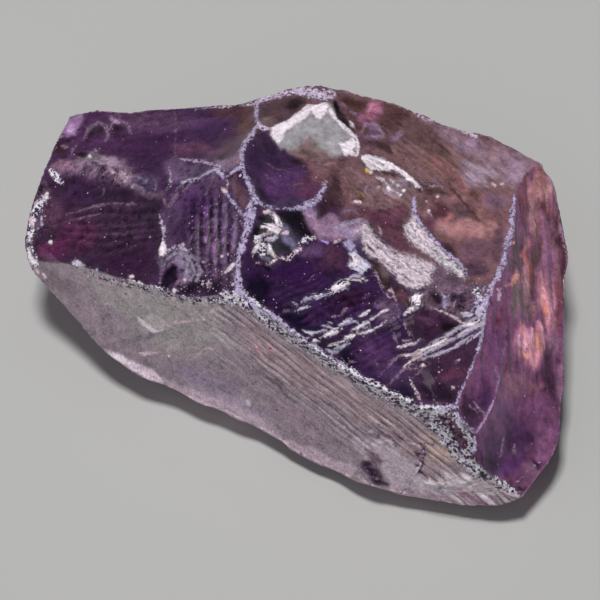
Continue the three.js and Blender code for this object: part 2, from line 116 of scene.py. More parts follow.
# Colours of the material, in linear light
GLASS_TINT = (0.92, 0.82, 0.95, 1)
SHADOW_TINT = (0.06, 0.045, 0.055, 1)
ABSORBING_TINT = (0.6, 0.25, 0.61, 1)
ABSORBING_DENSITY = 330.0  # to the metre
GLASS_ROUGHNESS = 0.06
FROST_GLOSS = 0.25
MARK_ROUGHNESS = 0.5
MARK_PINK = (0.50, 0.38, 0.45, 1)
GRAIN_PIT = (0.035, 0.018, 0.045, 1)
GRAIN_DEEP = (0.25, 0.18, 0.32, 1)
GRAIN_COOL = (0.86, 0.84, 0.95, 1)
GRAIN_WARM = (0.94, 0.88, 0.90, 1)
SPECK_DIM = (0.16, 0.10, 0.18, 1)
SPECK_BRIGHT = (0.72, 0.54, 0.64, 1)
FLOOR_PALE = (0.50, 0.50, 0.49, 1)

# The studio: each lamp's azimuth, elevation, distance, width and height in metres, and radiance
LAMPS = {
    "overhead_light": (-75, 84, 0.45, 0.09, 0.09, 64.0),
    "front_light": (196, 40, 0.60, 0.50, 0.30, 0.7),
    "left_light": (-105, 42, 0.50, 0.30, 0.30, 0.5),
    "window_light": (20, 60, 0.45, 0.07, 0.05, 2.0),
}
ROOM_LIGHT = 0.06
ROOM_SHARE = 1.25  # how much of the room's light a white face shows, with what the floor sends back
FLOOR_GLOW = 0.28  # what a white face that looks straight down shows of the lit floor
FLOOR_WIDTH = 1.2  # metres
FLOOR_CLEARANCE = 0.00003


def solid_skin(node):
    """The CAD solid's points in mm and its triangles, with points at the same place made one."""
    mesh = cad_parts[node].data
    places = np.empty(len(mesh.vertices) * 3)
    mesh.vertices.foreach_get("co", places)
    corners = np.empty(len(mesh.loops), int)
    mesh.loops.foreach_get("vertex_index", corners)
    rounded = np.round(places.reshape(-1, 3) / MILLIMETRE, 4)
    points, numbers = np.unique(rounded, axis=0, return_inverse=True)
    triangles = numbers.reshape(-1)[corners].reshape(-1, 3)
    whole = (np.diff(np.sort(triangles, axis=1), axis=1) > 0).all(axis=1)
    return points, triangles[whole]


def eye_place(points):
    """Where the eye is, in mm: the highest point shows at its own pixel, which settles the aim."""
    crown = points[points[:, 2].argmax()]
    aim = np.array([0.0, 0.0, VIEW_AIM_HEIGHT])
    eye = aim + VIEW_DISTANCE * TOWARDS_EYE
    offset = (CROWN_IN_PICTURE - np.array(PICTURE_MIDDLE)) / PIXELS_PER_MM
    sight = aim + offset[0] * ACROSS_PICTURE - offset[1] * UP_PICTURE - eye
    crown_before = eye + sight * (crown[2] - eye[2]) / sight[2]
    return eye + crown - crown_before


def in_picture(points, eye):
    """The pixel across and down at which each point shows: its offset from the eye, scaled to the plane of
    the picture."""
    away = points - eye
    scale = PIXELS_PER_MM * VIEW_DISTANCE / -(away @ TOWARDS_EYE)
    across = PICTURE_MIDDLE + (away @ ACROSS_PICTURE) * scale
    down = PICTURE_MIDDLE - (away @ UP_PICTURE) * scale
    return across, down


def sides_of(triangles, count):
    """Every edge once, as sorted pairs of point numbers, and for each triangle the numbers of its edges."""
    ends = np.sort(triangles[:, [[0, 1], [1, 2], [2, 0]]].reshape(-1, 2), axis=1)
    codes, numbers = np.unique(ends[:, 0] * count + ends[:, 1], return_inverse=True)
    return np.stack([codes // count, codes % count], axis=1), numbers.reshape(-1, 3)


def triangle_normals(points, triangles):
    """The cross product of two sides of each triangle, twice its area long."""
    a, b, c = (points[triangles[:, i]] for i in range(3))
    return np.cross(b - a, c - a)


def point_normals(points, triangles):
    """For each point the unit sum of the normals of the triangles round it, each as long as its area."""
    normals = triangle_normals(points, triangles)
    total = np.zeros_like(points)
    for corner in range(3):
        for axis in range(3):
            total[:, axis] += np.bincount(triangles[:, corner], normals[:, axis], len(points))
    return total / np.linalg.norm(total, axis=1, keepdims=True)


def unit(vectors):
    """Each row divided by its length."""
    return vectors / np.maximum(np.linalg.norm(vectors, axis=1, keepdims=True), 1e-12)


def ridges_of(points, triangles):
    """The edges over which the skin turns by more than the ridge angle, without loose ends."""
    edges, numbers = sides_of(triangles, len(points))
    normals = unit(triangle_normals(points, triangles))
    order = np.argsort(numbers.reshape(-1), kind="stable")
    pairs = (order // 3).reshape(-1, 2)
    turn = np.einsum("ij,ij->i", normals[pairs[:, 0]], normals[pairs[:, 1]])
    ridge = edges[turn < math.cos(RIDGE_ANGLE)]
    for _ in range(4):
        degree = np.bincount(ridge.reshape(-1), minlength=len(points))
        ridge = ridge[(degree[ridge] > 1).all(axis=1)]
    return ridge


def split_long(points, triangles, ridge, limit):
    """Splits at its middle every edge longer than the mean limit of its two ends.

    A triangle with one, two or three split sides becomes two, three or four, and with two the quadrilateral
    left over is cut by its shorter diagonal. Ridge edges stay ridge edges."""
    count = len(points)
    edges, numbers = sides_of(triangles, count)
    length = np.linalg.norm(points[edges[:, 0]] - points[edges[:, 1]], axis=1)
    split = length > limit[edges].mean(axis=1)
    middle = np.full(len(edges), -1)
    middle[split] = count + np.arange(split.sum())
    grown = np.concatenate([points, points[edges[split]].mean(axis=1)])
    grown_limit = np.concatenate([limit, limit[edges[split]].mean(axis=1)])
    codes = edges[:, 0] * count + edges[:, 1]
    ridge = np.sort(ridge, axis=1)
    where = np.searchsorted(codes, ridge[:, 0] * count + ridge[:, 1])
    cut = split[where]
    halves = middle[where[cut]]
    ridge = np.concatenate(
        [ridge[~cut], np.stack([ridge[cut, 0], halves], axis=1), np.stack([halves, ridge[cut, 1]], axis=1)]
    )
    middles = middle[numbers]
    parted = middles >= 0
    how_many = parted.sum(axis=1)
    turns = np.zeros(len(triangles), int)
    one = how_many == 1
    turns[one] = parted[one].argmax(axis=1)
    two = how_many == 2
    turns[two] = (~parted[two]).argmax(axis=1) + 1
    rolled = (np.arange(3)[None, :] + turns[:, None]) % 3
    corner = np.take_along_axis(triangles, rolled, axis=1)
    mid = np.take_along_axis(middles, rolled, axis=1)
    a, b, c = corner.T
    ab, bc, ca = mid.T
    parts = [corner[how_many == 0]]

    def add(which, *rows):
        parts.extend(np.stack([r[which] for r in row], axis=1) for row in rows)

    add(one, (a, ab, c), (ab, b, c))
    add(two, (ab, b, bc))
    short = np.zeros(len(triangles), bool)
    short[two] = (
        np.linalg.norm(grown[a[two]] - grown[bc[two]], axis=1)
        < np.linalg.norm(grown[ab[two]] - grown[c[two]], axis=1)
    )
    add(two & short, (a, ab, bc), (a, bc, c))
    add(two & ~short, (a, ab, c), (ab, bc, c))
    add(how_many == 3, (a, ab, ca), (ab, b, bc), (ca, bc, c), (ab, bc, ca))
    return grown, np.concatenate(parts), ridge, grown_limit


def neighbour_means(values, edges):
    """For each point the mean of the values at the points that it shares an edge with."""
    count = len(values)
    degree = np.bincount(edges.reshape(-1), minlength=count)
    first, second = edges.T
    total = [
        np.bincount(first, column[second], count) + np.bincount(second, column[first], count)
        for column in values.T
    ]
    return np.stack(total, axis=1) / np.maximum(degree, 1)[:, None]


def draw_smooth(points, triangles, ridge, rounds):
    """Moves inner points to the mean of their neighbours, and ridge points half way to that along the
    ridge."""
    edges, _ = sides_of(triangles, len(points))
    degree = np.bincount(ridge.reshape(-1), minlength=len(points))
    inner = degree == 0
    along = degree == 2
    for _ in range(rounds):
        points = np.where(inner[:, None], neighbour_means(points, edges), points)
    eased = (points + neighbour_means(points, ridge)) / 2
    flat = points[:, 2] < ON_FLOOR
    eased[flat] = points[flat]
    return np.where(along[:, None], eased, points)


def fine_skin(points, triangles, eye):
    """The solid's skin split to the edge lengths above and drawn smooth between its ridges."""
    ridge = ridges_of(points, triangles)
    facing = point_normals(points, triangles) @ TOWARDS_EYE
    seen = np.clip((facing - FINE_FACING[0]) / FINE_FACING[1], 0, 1)
    limit = UNSEEN_EDGE + (SEEN_EDGE - UNSEEN_EDGE) * seen
    for coarseness in COARSENESS:
        points, triangles, ridge, limit = split_long(points, triangles, ridge, limit * coarseness)
        limit = limit / coarseness
        points = draw_smooth(points, triangles, ridge, SMOOTHING_ROUNDS)
    return points, triangles, ridge


def lattice_noise(points, size, seed):
    """Smooth noise between -1 and 1: random values at the corners of cubes of a size, blended across."""
    cell = np.floor(points / size).astype(np.int64)
    share = points / size - cell
    share = share * share * (3 - 2 * share)
    total = np.zeros(len(points))
    for corner in np.ndindex(2, 2, 2):
        at = cell + np.array(corner)
        mixed = (at[:, 0] * 73856093) ^ (at[:, 1] * 19349663) ^ (at[:, 2] * 83492791) ^ (seed * 2654435761)
        mixed = (mixed ^ (mixed >> 13)) * 1274126177 & 0x7FFFFFFF
        mixed = (mixed ^ (mixed >> 15)) * 1911520717 & 0x7FFFFFFF
        value = (mixed & 0xFFFFF) / 0x7FFFF - 1
        weight = np.prod(np.where(corner, share, 1 - share), axis=1)
        total += value * weight
    return total


def layered_noise(points, size, seed, layers=3):
    """Sum of lattice noises, each half as large and half as strong as the one before."""
    return sum(lattice_noise(points, size / 2**n, seed + n) / 2**n for n in range(layers))


def near(across, down, points, reach):
    """Which of the places lie within some reach of the box round a mark's points."""
    low, high = points[:, :2].min(axis=0) - reach, points[:, :2].max(axis=0) + reach
    return (across > low[0]) & (across < high[0]) & (down > low[1]) & (down < high[1])


def stroke_gap(across, down, stroke):
    """Distance in pixels past the edge of a stroke: the least, over its segments, of the distance to the
    segment less the half width there."""
    gap = np.full(len(across), FAR)
    for start, end in zip(stroke[:-1], stroke[1:]):
        reach = end[:2] - start[:2]
        share = ((across - start[0]) * reach[0] + (down - start[1]) * reach[1]) / max(reach @ reach, 1e-6)
        share = np.clip(share, 0, 1)
        away = np.hypot(across - start[0] - share * reach[0], down - start[1] - share * reach[1])
        gap = np.minimum(gap, away - (start[2] + share * (end[2] - start[2])) / 2)
    return gap


def patch_gap(across, down, outline):
    """Distance in pixels to a closed outline, counted as less than nothing inside it."""
    closed = np.concatenate([outline, outline[:1]])
    gap = stroke_gap(across, down, np.column_stack([closed, np.zeros(len(closed))]))
    inside = np.zeros(len(across), bool)
    for start, end in zip(closed[:-1], closed[1:]):
        if start[1] == end[1]:
            continue
        crosses = (start[1] > down) != (end[1] > down)
        at = start[0] + (down - start[1]) / (end[1] - start[1]) * (end[0] - start[0])
        inside ^= crosses & (across < at)
    return np.where(inside, -gap, gap)


def mark_gap(across, down, mark):
    """The gap to a mark, worked out only near it. A mark is a stroke of points (across, down, width), or a
    patch, whose outline's points are (across, down). A dot is a stroke of one point."""
    points = np.array(mark, float)
    gap = np.full(len(across), FAR)
    close = near(across, down, points, MARK_REACH)
    if points.shape[1] == 2:
        gap[close] = patch_gap(across[close], down[close], points)
    else:
        if len(points) == 1:
            points = np.concatenate([points, points])
        gap[close] = stroke_gap(across[close], down[close], points)
    return gap


def rise(value, low, high):
    """A smooth rise from 0 at one end of a range to 1 at the other."""
    share = np.clip((value - low) / (high - low), 0, 1)
    return share * share * (3 - 2 * share)


def linear(red, green, blue):
    """A colour as a screen shows it, 0 to 255, in linear light."""
    screen = np.array([red, green, blue]) / 255
    return np.where(screen > 0.04045, ((screen + 0.055) / 1.055) ** 2.4, screen / 12.92)


def ellipse_share(right, below, half_across, half_down, lean=0):
    """The share of a soft ellipse that leans by an angle in degrees, right of and below its middle: 1 up
    to a third of the way to its edge, falling to 0 a third past it."""
    turn = math.radians(lean)
    x = right * math.cos(turn) + below * math.sin(turn)
    y = below * math.cos(turn) - right * math.sin(turn)
    return rise(np.hypot(x / half_across, y / half_down), 1.35, 0.35)


def spot(across, down, half_across, half_down, colour, cover=None, lean=0):
    """Paint in a soft leaning ellipse."""

    def share(skin):
        right, below = skin.brushed[:, 0] - across, skin.brushed[:, 1] - down
        return ellipse_share(right, below, half_across, half_down, lean)

    return share, colour, cover


def area(softness, colour, mark, cover=None, strength=1.0):
    """Paint inside a patch or along a stroke, with an edge that fades over twice the softness in pixels."""

    def share(skin):
        gap = mark_gap(skin.brushed[:, 0], skin.brushed[:, 1], mark)
        return strength * rise(gap, softness, -softness)

    return share, colour, cover


# Lines that part the faces, in pixels across and down the picture
FRONT_RIDGE = [
    (26, 258), (45, 262), (62, 263), (80, 266), (95, 270), (112, 276), (130, 282), (150, 286), (170, 293),
    (187, 298), (205, 297), (221, 295), (238, 292), (258, 307), (272, 318), (287, 329), (300, 339), (313,
    347), (325, 356), (340, 367), (358, 378), (372, 386), (392, 395), (410, 404), (425, 411), (441, 441),
    (465, 468), (484, 469), (500, 484), (522, 497),
]
CENTRAL_RIDGE = [
    (257, 99, 4), (256, 112, 4), (258, 124, 4.5), (252, 134, 4.5), (245, 143, 5), (241, 155, 5), (242, 168,
    4.5), (246, 178, 4.5), (251, 188, 5), (255, 199, 6), (252, 212, 8), (249, 226, 7), (244, 240, 7), (239,
    258, 5), (237, 275, 6), (239, 288, 9.5),
]
RIGHT_RIDGE = [
    (514, 196, 3), (512, 212, 5), (511, 228, 5), (507, 243, 7), (504, 258, 6), (500, 272, 7), (493, 284, 6),
    (488, 295, 6), (486, 310, 5), (484, 322, 5), (481, 338, 3), (477, 352, 2), (472, 365, 2), (466, 380, 2),
    (460, 394, 3), (456, 404, 3), (458, 413, 3), (464, 422, 3), (470, 429, 3), (476, 436, 2),
]
RIGHT_SIDE_EDGE = [(541, 158, 0), (524, 176, 0), *RIGHT_RIDGE, (480, 452, 0), (500, 484, 0), (522, 497, 0)]

# Colours as they show on the lit stone
LILAC = (168, 158, 196)
PALE_LILAC = (186, 174, 202)
MAUVE = (150, 120, 152)
PINK_LILAC = (176, 140, 172)
CREAM = (234, 222, 232)
PINK_WHITE = (222, 196, 208)
ICE = (196, 190, 212)
GOLD = (222, 178, 92)
RIB_GREY = (138, 114, 142)
BAND_GREY = (176, 164, 186)

# Crushed lines: colour, then the marks of that colour
LINES = [
    (LILAC, CENTRAL_RIDGE, RIGHT_RIDGE, [(253, 198, 4), (250, 208, 7), (248, 217, 8), (246, 226, 5)]),
    (PALE_LILAC, [(258, 124, 4), (263, 129, 5), (269, 129, 3)]),
    (LILAC, [(256, 203, 5), (264, 206, 4), (272, 208, 3), (282, 209, 3), (292, 209, 4), (302, 207, 6),
        (312, 203, 7), (319, 197, 6), (323, 190, 4), (325, 183, 3)]),
    (PALE_LILAC, [(250, 104, 4), (262, 100, 6), (272, 95, 7), (284, 92, 8), (298, 91, 9), (312, 92, 11),
        (324, 93, 10), (334, 94, 6)], [(306, 92, 9), (318, 95, 11), (330, 96, 8)],
        [(252, 104, 3), (240, 105, 2), (215, 107, 2), (190, 109, 1)]),
    ((182, 160, 184), [(414, 113, 2), (422, 117, 4), (433, 121, 3)],
        [(446, 124, 2), (454, 127, 4), (466, 132, 5), (476, 136, 4)]),
    (LILAC, [(240, 168, 3), (235, 171, 4), (228, 176, 2)], [(226, 182, 2), (222, 174, 4), (215, 169, 5),
        (208, 173, 3), (200, 179, 3), (190, 181, 4), (182, 183, 2), (176, 190, 1)],
        [(222, 188, 3), (226, 192, 4), (230, 198, 3), (236, 205, 3), (241, 213, 3), (244, 220, 1)]),
    ((166, 142, 176),
        [(178, 159, 1), (190, 160, 3), (201, 162, 4), (211, 164, 4), (218, 166, 4), (226, 170, 3)]),
    (PALE_LILAC, [(169, 168, 1), (171, 176, 3), (170, 184, 3), (166, 192, 1)]),
    (MAUVE, [(422, 189, 2), (431, 187, 3), (440, 186, 3), (445, 191, 2), (445, 197, 1)]),
    (LILAC, [(414, 196, 3), (414, 210, 4), (419, 222, 4), (428, 233, 4), (437, 244, 4), (448, 254, 4),
        (457, 261, 4), (464, 269, 4), (468, 279, 2)]),
    (PINK_WHITE, [(254, 262, 2), (262, 264, 3), (270, 264, 3), (277, 258, 3), (288, 259, 3), (295, 253, 4),
        (301, 248, 3)]),
    (PALE_LILAC, [(160, 216, 2), (162, 226, 4), (164, 232, 3), (163, 240, 3)],
        [(167, 251, 2), (173, 247, 4), (181, 247, 4), (189, 252, 2)]),
    (PINK_WHITE, [(408, 374, 1), (412, 385, 2), (418, 395, 3), (423, 406, 3)]),
    (PINK_LILAC, [(372, 265, 1), (377, 276, 2), (382, 287, 4), (389, 298, 2)],
        [(390, 290, 2), (396, 300, 2), (397, 308, 1), (400, 318, 2), (405, 326, 1), (410, 336, 1)],
        [(493, 287, 2), (500, 290, 2), (499, 299, 3), (495, 306, 1)]),
    (LILAC, [(484, 286, 1), (483, 293, 3), (479, 300, 2)], [(479, 297, 1), (475, 305, 4), (468, 316, 2)],
        [(484, 300, 2), (480, 310, 6), (474, 318, 4)], [(440, 292, 2), (449, 301, 2), (443, 309, 2)]),
    (MAUVE, [(456, 300, 2), (452, 311, 2)]),
    (LILAC, [(238, 290, 7), (247, 297, 5), (254, 305, 3), (262, 311, 4), (272, 315, 3), (284, 324, 3),
        (297, 335, 3), (309, 342, 2), (320, 349, 3), (333, 358, 3), (346, 366, 2)],
        [(440, 408, 3), (450, 406, 5), (457, 408, 4)], [(474, 436, 3), (476, 446, 4), (472, 453, 2)]),
    (PINK_WHITE,
        [(556, 456, 2), (548, 467, 3), (541, 480, 3), (532, 490, 3), (520, 500, 4), (505, 505, 3)]),
    (MAUVE, [(540, 462, 1), (530, 469, 1), (521, 478, 2), (513, 486, 1)]),
]

# Crushed grains
GRAINS = [
    [(29, 250, 6), (31, 258, 8), (36, 264, 4)],
    [(72, 263, 3), (78, 264, 8), (84, 268, 4)],
    [(92, 272, 3), (104, 281, 7), (120, 283, 7), (135, 284, 6), (150, 289, 7), (162, 292, 7), (176, 298, 6),
        (190, 301, 5), (205, 301, 6), (218, 300, 9), (230, 297, 14), (242, 298, 17), (252, 306, 15),
        (262, 314, 14), (272, 322, 14), (287, 333, 12), (300, 342, 11), (313, 350, 11), (325, 359, 11),
        (340, 369, 12), (350, 375, 11), (362, 382, 13), (374, 388, 14), (392, 397, 12), (405, 405, 13),
        (418, 411, 14), (432, 410, 12), (446, 411, 10), (455, 412, 8)],
    [(425, 416, 10), (436, 426, 12), (446, 438, 12), (456, 450, 13), (466, 462, 13), (478, 472, 12),
        (488, 478, 10)],
    [(438, 420, 4), (447, 430, 6), (455, 441, 5)],
    [(452, 412, 6), (460, 422, 7), (468, 434, 8), (472, 446, 8), (466, 456, 8)],
    [(46, 196, 5), (40, 204, 9), (34, 214, 9), (31, 226, 9), (30, 240, 5)],
    [(52, 172, 4), (57, 178, 7), (62, 182, 4)],
    [(482, 476, 6), (494, 482, 10), (506, 488, 10), (516, 495, 8)],
    [(258, 240, 9), (262, 250, 10)],
    [(300, 243, 5), (306, 240, 7), (312, 238, 4)],
    [(476, 292, 7), (482, 300, 8), (480, 314, 10)],
]

# Painted highlights: glints and reflections of light on the window facet, the streak, hackles, ripples,
# flakes and edges. Each gives its colour, how streaked from 0 to 1, then the marks
PAINTED_GLINTS = [
    (CREAM, 0.0, [(270, 128), (286, 121), (299, 112), (307, 105), (327, 103), (330, 108), (326, 113),
        (321, 120), (316, 117), (311, 112), (306, 119), (297, 124), (285, 133), (279, 145), (275, 142),
        (271, 135)],
        [(330, 111, 5), (337, 120, 3), (346, 129, 3), (355, 137, 4), (358, 146, 3), (357, 154, 3)],
        [(338, 143), (346, 142), (354, 137), (356, 144), (353, 150), (357, 156), (344, 156), (341, 149)]),
    (PINK_WHITE, 0.3, [(350, 122, 2), (353, 126, 4)]),
    (CREAM, 0.35, [(360, 156), (368, 155), (380, 158), (392, 163), (404, 171), (414, 180), (421, 188),
        (416, 188), (405, 179), (395, 171), (384, 170), (372, 171), (366, 166)]),
    (CREAM, 0.5, [(268, 211, 4), (274, 216, 5), (279, 225, 8), (277, 232, 8)]),
    (CREAM, 0.6, [(262, 227, 2), (270, 228, 8), (277, 231, 9)]),
    (ICE, 0.3, [(266, 239, 3), (272, 240, 5), (276, 237, 4)]),
    (PINK_WHITE, 0.0, [(261, 235, 2), (270, 234, 2)], [(280, 234, 2), (287, 233, 3)],
        [(263, 212, 3), (270, 213, 3)]),
    (CREAM, 0.2, [(260, 240, 2), (256, 248, 3), (252, 257, 1)]),
    (CREAM, 0.4, [(268, 246, 4), (271, 252, 6), (275, 257, 3)]),
    (CREAM, 0.2, [(162, 240), (166, 244), (168, 250), (164, 257), (160, 257), (159, 249)]),
    (CREAM, 0.0, [(234, 265, 5), (230, 269, 4), (224, 273, 2)]),
    (PINK_WHITE, 0.0, [(209, 281, 2), (208, 284, 3)]),
    (PINK_WHITE, 0.2, [(223, 189, 3), (226, 192, 4)]),
    (PINK_WHITE, 0.0, [(228, 181, 2), (228, 185, 2)]),
    (CREAM, 0.0, [(90, 157, 4)], [(183, 245, 3)], [(51, 243, 4)]),
    (PINK_WHITE, 0.0, [(47, 194, 4)]),
    (CREAM, 0.2, [(29, 253, 5), (31, 258, 6), (34, 262, 4)]),
    (PINK_WHITE, 0.2, [(30, 217, 3), (33, 224, 5)]),
    (PALE_LILAC, 0.2, [(42, 217, 2), (42, 226, 3)]),
    (ICE, 0.2, [(72, 263, 2), (78, 263, 5), (80, 267, 2)]),
    (ICE, 0.1, [(97, 270, 3), (98, 274, 3)]),
    (CREAM, 1.0,
        [(328, 293), (333, 286), (341, 281), (348, 280), (349, 284), (344, 289), (338, 292), (331, 295)]),
    (ICE, 0.5, [(312, 298, 3), (320, 296, 5), (330, 292, 3)],
        [(302, 302, 2), (307, 299, 4), (313, 300, 2)]),
    (ICE, 0.4, [(295, 312, 2), (302, 309, 3), (310, 307, 1)]),
    (ICE, 0.3, [(292, 303, 1), (297, 306, 2)]),
    (PALE_LILAC, 0.4, [(342, 290, 3), (349, 290, 1)], [(345, 279, 1), (354, 276, 3), (360, 276, 2)]),
    (CREAM, 0.5, [(348, 280, 2), (357, 280, 3), (366, 280, 2)]),
    (ICE, 0.4, [(349, 252), (355, 250), (361, 257), (368, 262), (373, 266), (367, 270), (362, 276),
        (355, 271), (347, 268), (349, 262)]),
    (CREAM, 0.2, [(353, 256, 3), (355, 263, 8), (352, 266, 4)]),
    (LILAC, 0.4, [(342, 243), (350, 238), (356, 246), (352, 252), (345, 248)]),
    (PINK_WHITE, 0.2, [(354, 234, 2), (357, 231, 3)]),
    (ICE, 0.2, [(302, 331, 1), (311, 334, 4), (320, 332, 2)]),
    (ICE, 0.1, [(303, 338, 1), (309, 339, 2)]),
    (CREAM, 0.1, [(313, 341, 3), (320, 342, 1)]),
    (CREAM, 0.2, [(320, 339, 1), (327, 335, 4), (334, 332, 6), (341, 329, 3)]),
    ((150, 136, 158), 0.0, [(334, 331, 2), (338, 330, 2)]),
    (ICE, 0.1, [(321, 326, 1), (327, 327, 2), (331, 328, 1)]),
    (PALE_LILAC, 0.1, [(322, 331, 1), (326, 330, 2)], [(328, 323, 2), (332, 324, 1)]),
    (PINK_LILAC, 0.0, [(333, 317, 2), (335, 316, 1)], [(339, 316, 1), (343, 314, 2)]),
    (ICE, 0.3, [(339, 325, 2), (346, 322, 5), (352, 321, 4), (357, 322, 2)]),
    (PALE_LILAC, 0.1, [(346, 319, 1), (353, 319, 1)]),
    (CREAM, 0.1, [(359, 317, 2), (365, 314, 4), (369, 311, 2)]),
    (CREAM, 0.25, [(351, 331, 1), (358, 328, 3), (364, 324, 3), (371, 319, 2), (378, 315, 2), (383, 311, 3),
        (388, 310, 1)], [(355, 334, 1), (365, 333, 3), (373, 330, 2), (381, 325, 2), (386, 320, 1)]),
    (ICE, 0.2, [(364, 329, 1), (370, 325, 1)]),
    (ICE, 0.1, [(363, 322, 1), (369, 321, 1)]),
    (CREAM, 0.1, [(345, 338, 2), (351, 337, 5), (356, 335, 2)]),
    (CREAM, 0.2, [(328, 346, 1), (336, 344, 1), (343, 341, 2), (351, 340, 1)]),
    (ICE, 0.2, [(334, 349, 1), (342, 347, 3), (349, 344, 2)]),
    (PALE_LILAC, 0.2, [(325, 350, 2), (331, 352, 4), (337, 352, 2)]),
    (BAND_GREY, 0.35,
        [(416, 353, 1), (430, 345, 3), (445, 337, 4), (458, 329, 4), (470, 321, 5), (481, 316, 4)],
        [(412, 358, 2), (425, 353, 4), (440, 346, 5), (455, 339, 4), (468, 331, 5), (483, 323, 5)],
        [(420, 360, 2), (436, 355, 3), (452, 349, 3), (466, 340, 3), (479, 332, 3)]),
    (CREAM, 0.3, [(416, 352, 2), (426, 349, 4), (436, 345, 4), (446, 340, 3)],
        [(462, 326, 2), (471, 325, 4), (479, 321, 3)]),
    (PINK_WHITE, 0.4, [(401, 356, 2), (411, 355, 3), (420, 353, 3)],
        [(404, 367, 2), (412, 361, 4), (420, 357, 4)]),
    (PALE_LILAC, 0.5, [(468, 343, 2), (476, 336, 4), (482, 330, 3)]),
    (PINK_WHITE, 0.3, [(398, 347, 2), (408, 345, 3), (417, 343, 2)]),
    (ICE, 0.3, [(413, 346, 2), (420, 340, 2)]),
    (PALE_LILAC, 0.3, [(403, 341, 2), (410, 340, 2)]),
    (CREAM, 0.9, [(410, 298), (416, 292), (424, 294), (420, 300), (421, 306), (415, 308), (412, 303)]),
    (CREAM, 0.5, [(404, 315, 2), (410, 310, 4), (418, 308, 2)]),
    (PINK_WHITE, 0.2, [(430, 308, 1), (443, 312, 2), (455, 318, 3), (465, 324, 1)]),
    (ICE, 0.4, [(460, 313), (468, 312), (476, 315), (472, 318), (464, 317)]),
    (PINK_WHITE, 0.0, [(453, 388, 3)]),
    (PINK_WHITE, 0.1, [(423, 366, 4)], [(456, 362, 2), (459, 360, 2)]),
    (PINK_WHITE, 0.0, [(438, 197, 4)], [(429, 212, 4)]),
    (PINK_LILAC, 0.0, [(430, 214, 2), (433, 219, 1)]),
    (PINK_WHITE, 0.0, [(441, 230, 3)], [(502, 184, 4)], [(492, 183, 2), (495, 186, 3)]),
    (PINK_WHITE, 0.2, [(377, 178, 3), (380, 179, 3)]),
    (CREAM, 0.2, [(386, 184, 2), (389, 189, 4), (393, 191, 1)], [(393, 183, 3)],
        [(396, 192, 1), (400, 196, 4), (403, 195, 1)]),
    (PINK_WHITE, 0.0, [(383, 180, 4)]),
    (CREAM, 0.0, [(398, 186, 3)]),
    (PINK_WHITE, 0.0, [(379, 187, 3)]),
    (CREAM, 0.0, [(404, 191, 4)]),
    (GOLD, 0.0, [(366, 169, 2), (368, 172, 3)]),
    (PINK_WHITE, 0.0, [(371, 173, 3)]),
    ((214, 160, 112), 0.0, [(360, 192, 1), (364, 197, 2)]),
    (PINK_WHITE, 0.2, [(354, 202, 3), (360, 203, 3)]),
    ((190, 150, 236), 0.0, [(322, 241, 2), (327, 243, 3)]),
    (PINK_WHITE, 0.2, [(334, 242, 2), (340, 240, 2)]),
    ((222, 194, 214), 0.0, [(176, 388, 1), (188, 396, 2), (200, 402, 3), (220, 408, 2), (235, 416, 2),
        (250, 422, 2), (262, 428, 2), (275, 435, 1), (290, 447, 2), (310, 458, 1), (330, 466, 2),
        (350, 476, 2)]),
    ((196, 170, 190), 0.0,
        [(372, 485, 1), (386, 489, 1), (400, 492, 2), (416, 495, 1), (430, 497, 1), (450, 501, 1)]),
    (CREAM, 0.0, [(246, 400), (250, 400), (251, 406), (248, 405)],
        [(138, 318, 2), (145, 325, 4), (154, 331, 5), (162, 330, 3)]),
    (PINK_WHITE, 0.1, [(98, 281, 4), (105, 284, 4), (112, 286, 3)]),
    ((226, 200, 212), 0.0, [(164, 329, 2), (173, 323, 3), (185, 321, 3), (197, 320, 3), (206, 317, 2),
        (214, 312, 3), (219, 308, 2)]),
    ((252, 236, 242), 0.0, [(175, 322, 4), (180, 321, 3)], [(193, 319, 4)], [(203, 319, 5)],
        [(211, 312, 4), (214, 308, 3)]),
    (PINK_WHITE, 0.0, [(104, 158, 3)], [(113, 172, 3)], [(125, 181, 3)]),
    (PALE_LILAC, 0.0, [(96, 151, 3)], [(133, 187, 3)]),
    (PINK_WHITE, 0.0, [(116, 282, 4)], [(132, 277, 4)]),
    (CREAM, 0.0, [(175, 291, 5)]),
    (PINK_WHITE, 0.0, [(200, 306, 4)], [(206, 301, 4)], [(217, 315, 4)], [(185, 280, 4)], [(125, 284, 4)],
        [(139, 283, 4)], [(88, 276, 3)]),
    (CREAM, 0.1, [(152, 287, 4), (156, 292, 5)]),
    (PINK_WHITE, 0.0, [(174, 299, 5)], [(182, 305, 3)]),
    (PINK_WHITE, 0.2, [(190, 358, 1), (196, 358, 2), (201, 350, 2), (208, 348, 2), (213, 350, 2)]),
    (PINK_WHITE, 0.1, [(140, 354, 2), (148, 353, 4), (156, 353, 3)]),
    (PINK_WHITE, 0.0, [(106, 304, 3)]),
    (PINK_WHITE, 0.1, [(36, 269, 2), (38, 272, 3)], [(43, 274, 2), (46, 277, 3)]),
    (PINK_WHITE, 0.0, [(169, 356, 2)]),
    ((226, 160, 178), 0.0, [(254, 345, 1), (259, 350, 2), (262, 353, 1)],
        [(266, 346, 1), (270, 350, 3), (273, 353, 1)]),
    ((176, 138, 180), 0.0, [(476, 433, 1), (484, 420, 2), (490, 408, 2), (495, 395, 1), (498, 380, 0.5)]),
    (CREAM, 0.2, [(422, 481, 2), (433, 484, 4), (446, 484, 4), (452, 480, 1)],
        [(436, 489, 3), (450, 486, 4), (464, 487, 3)], [(455, 481, 2), (467, 483, 4), (480, 480, 2)],
        [(470, 489, 3), (482, 486, 4), (494, 487, 2)]),
    (PINK_WHITE, 0.1, [(428, 478, 1), (434, 482, 2)], [(486, 480, 1), (495, 483, 3)]),
    (PINK_WHITE, 0.4, [(448, 490, 3), (466, 490, 4), (484, 490, 3)]),
    (PINK_WHITE, 0.8, [(502, 490, 3), (510, 494, 4), (518, 497, 4)]),
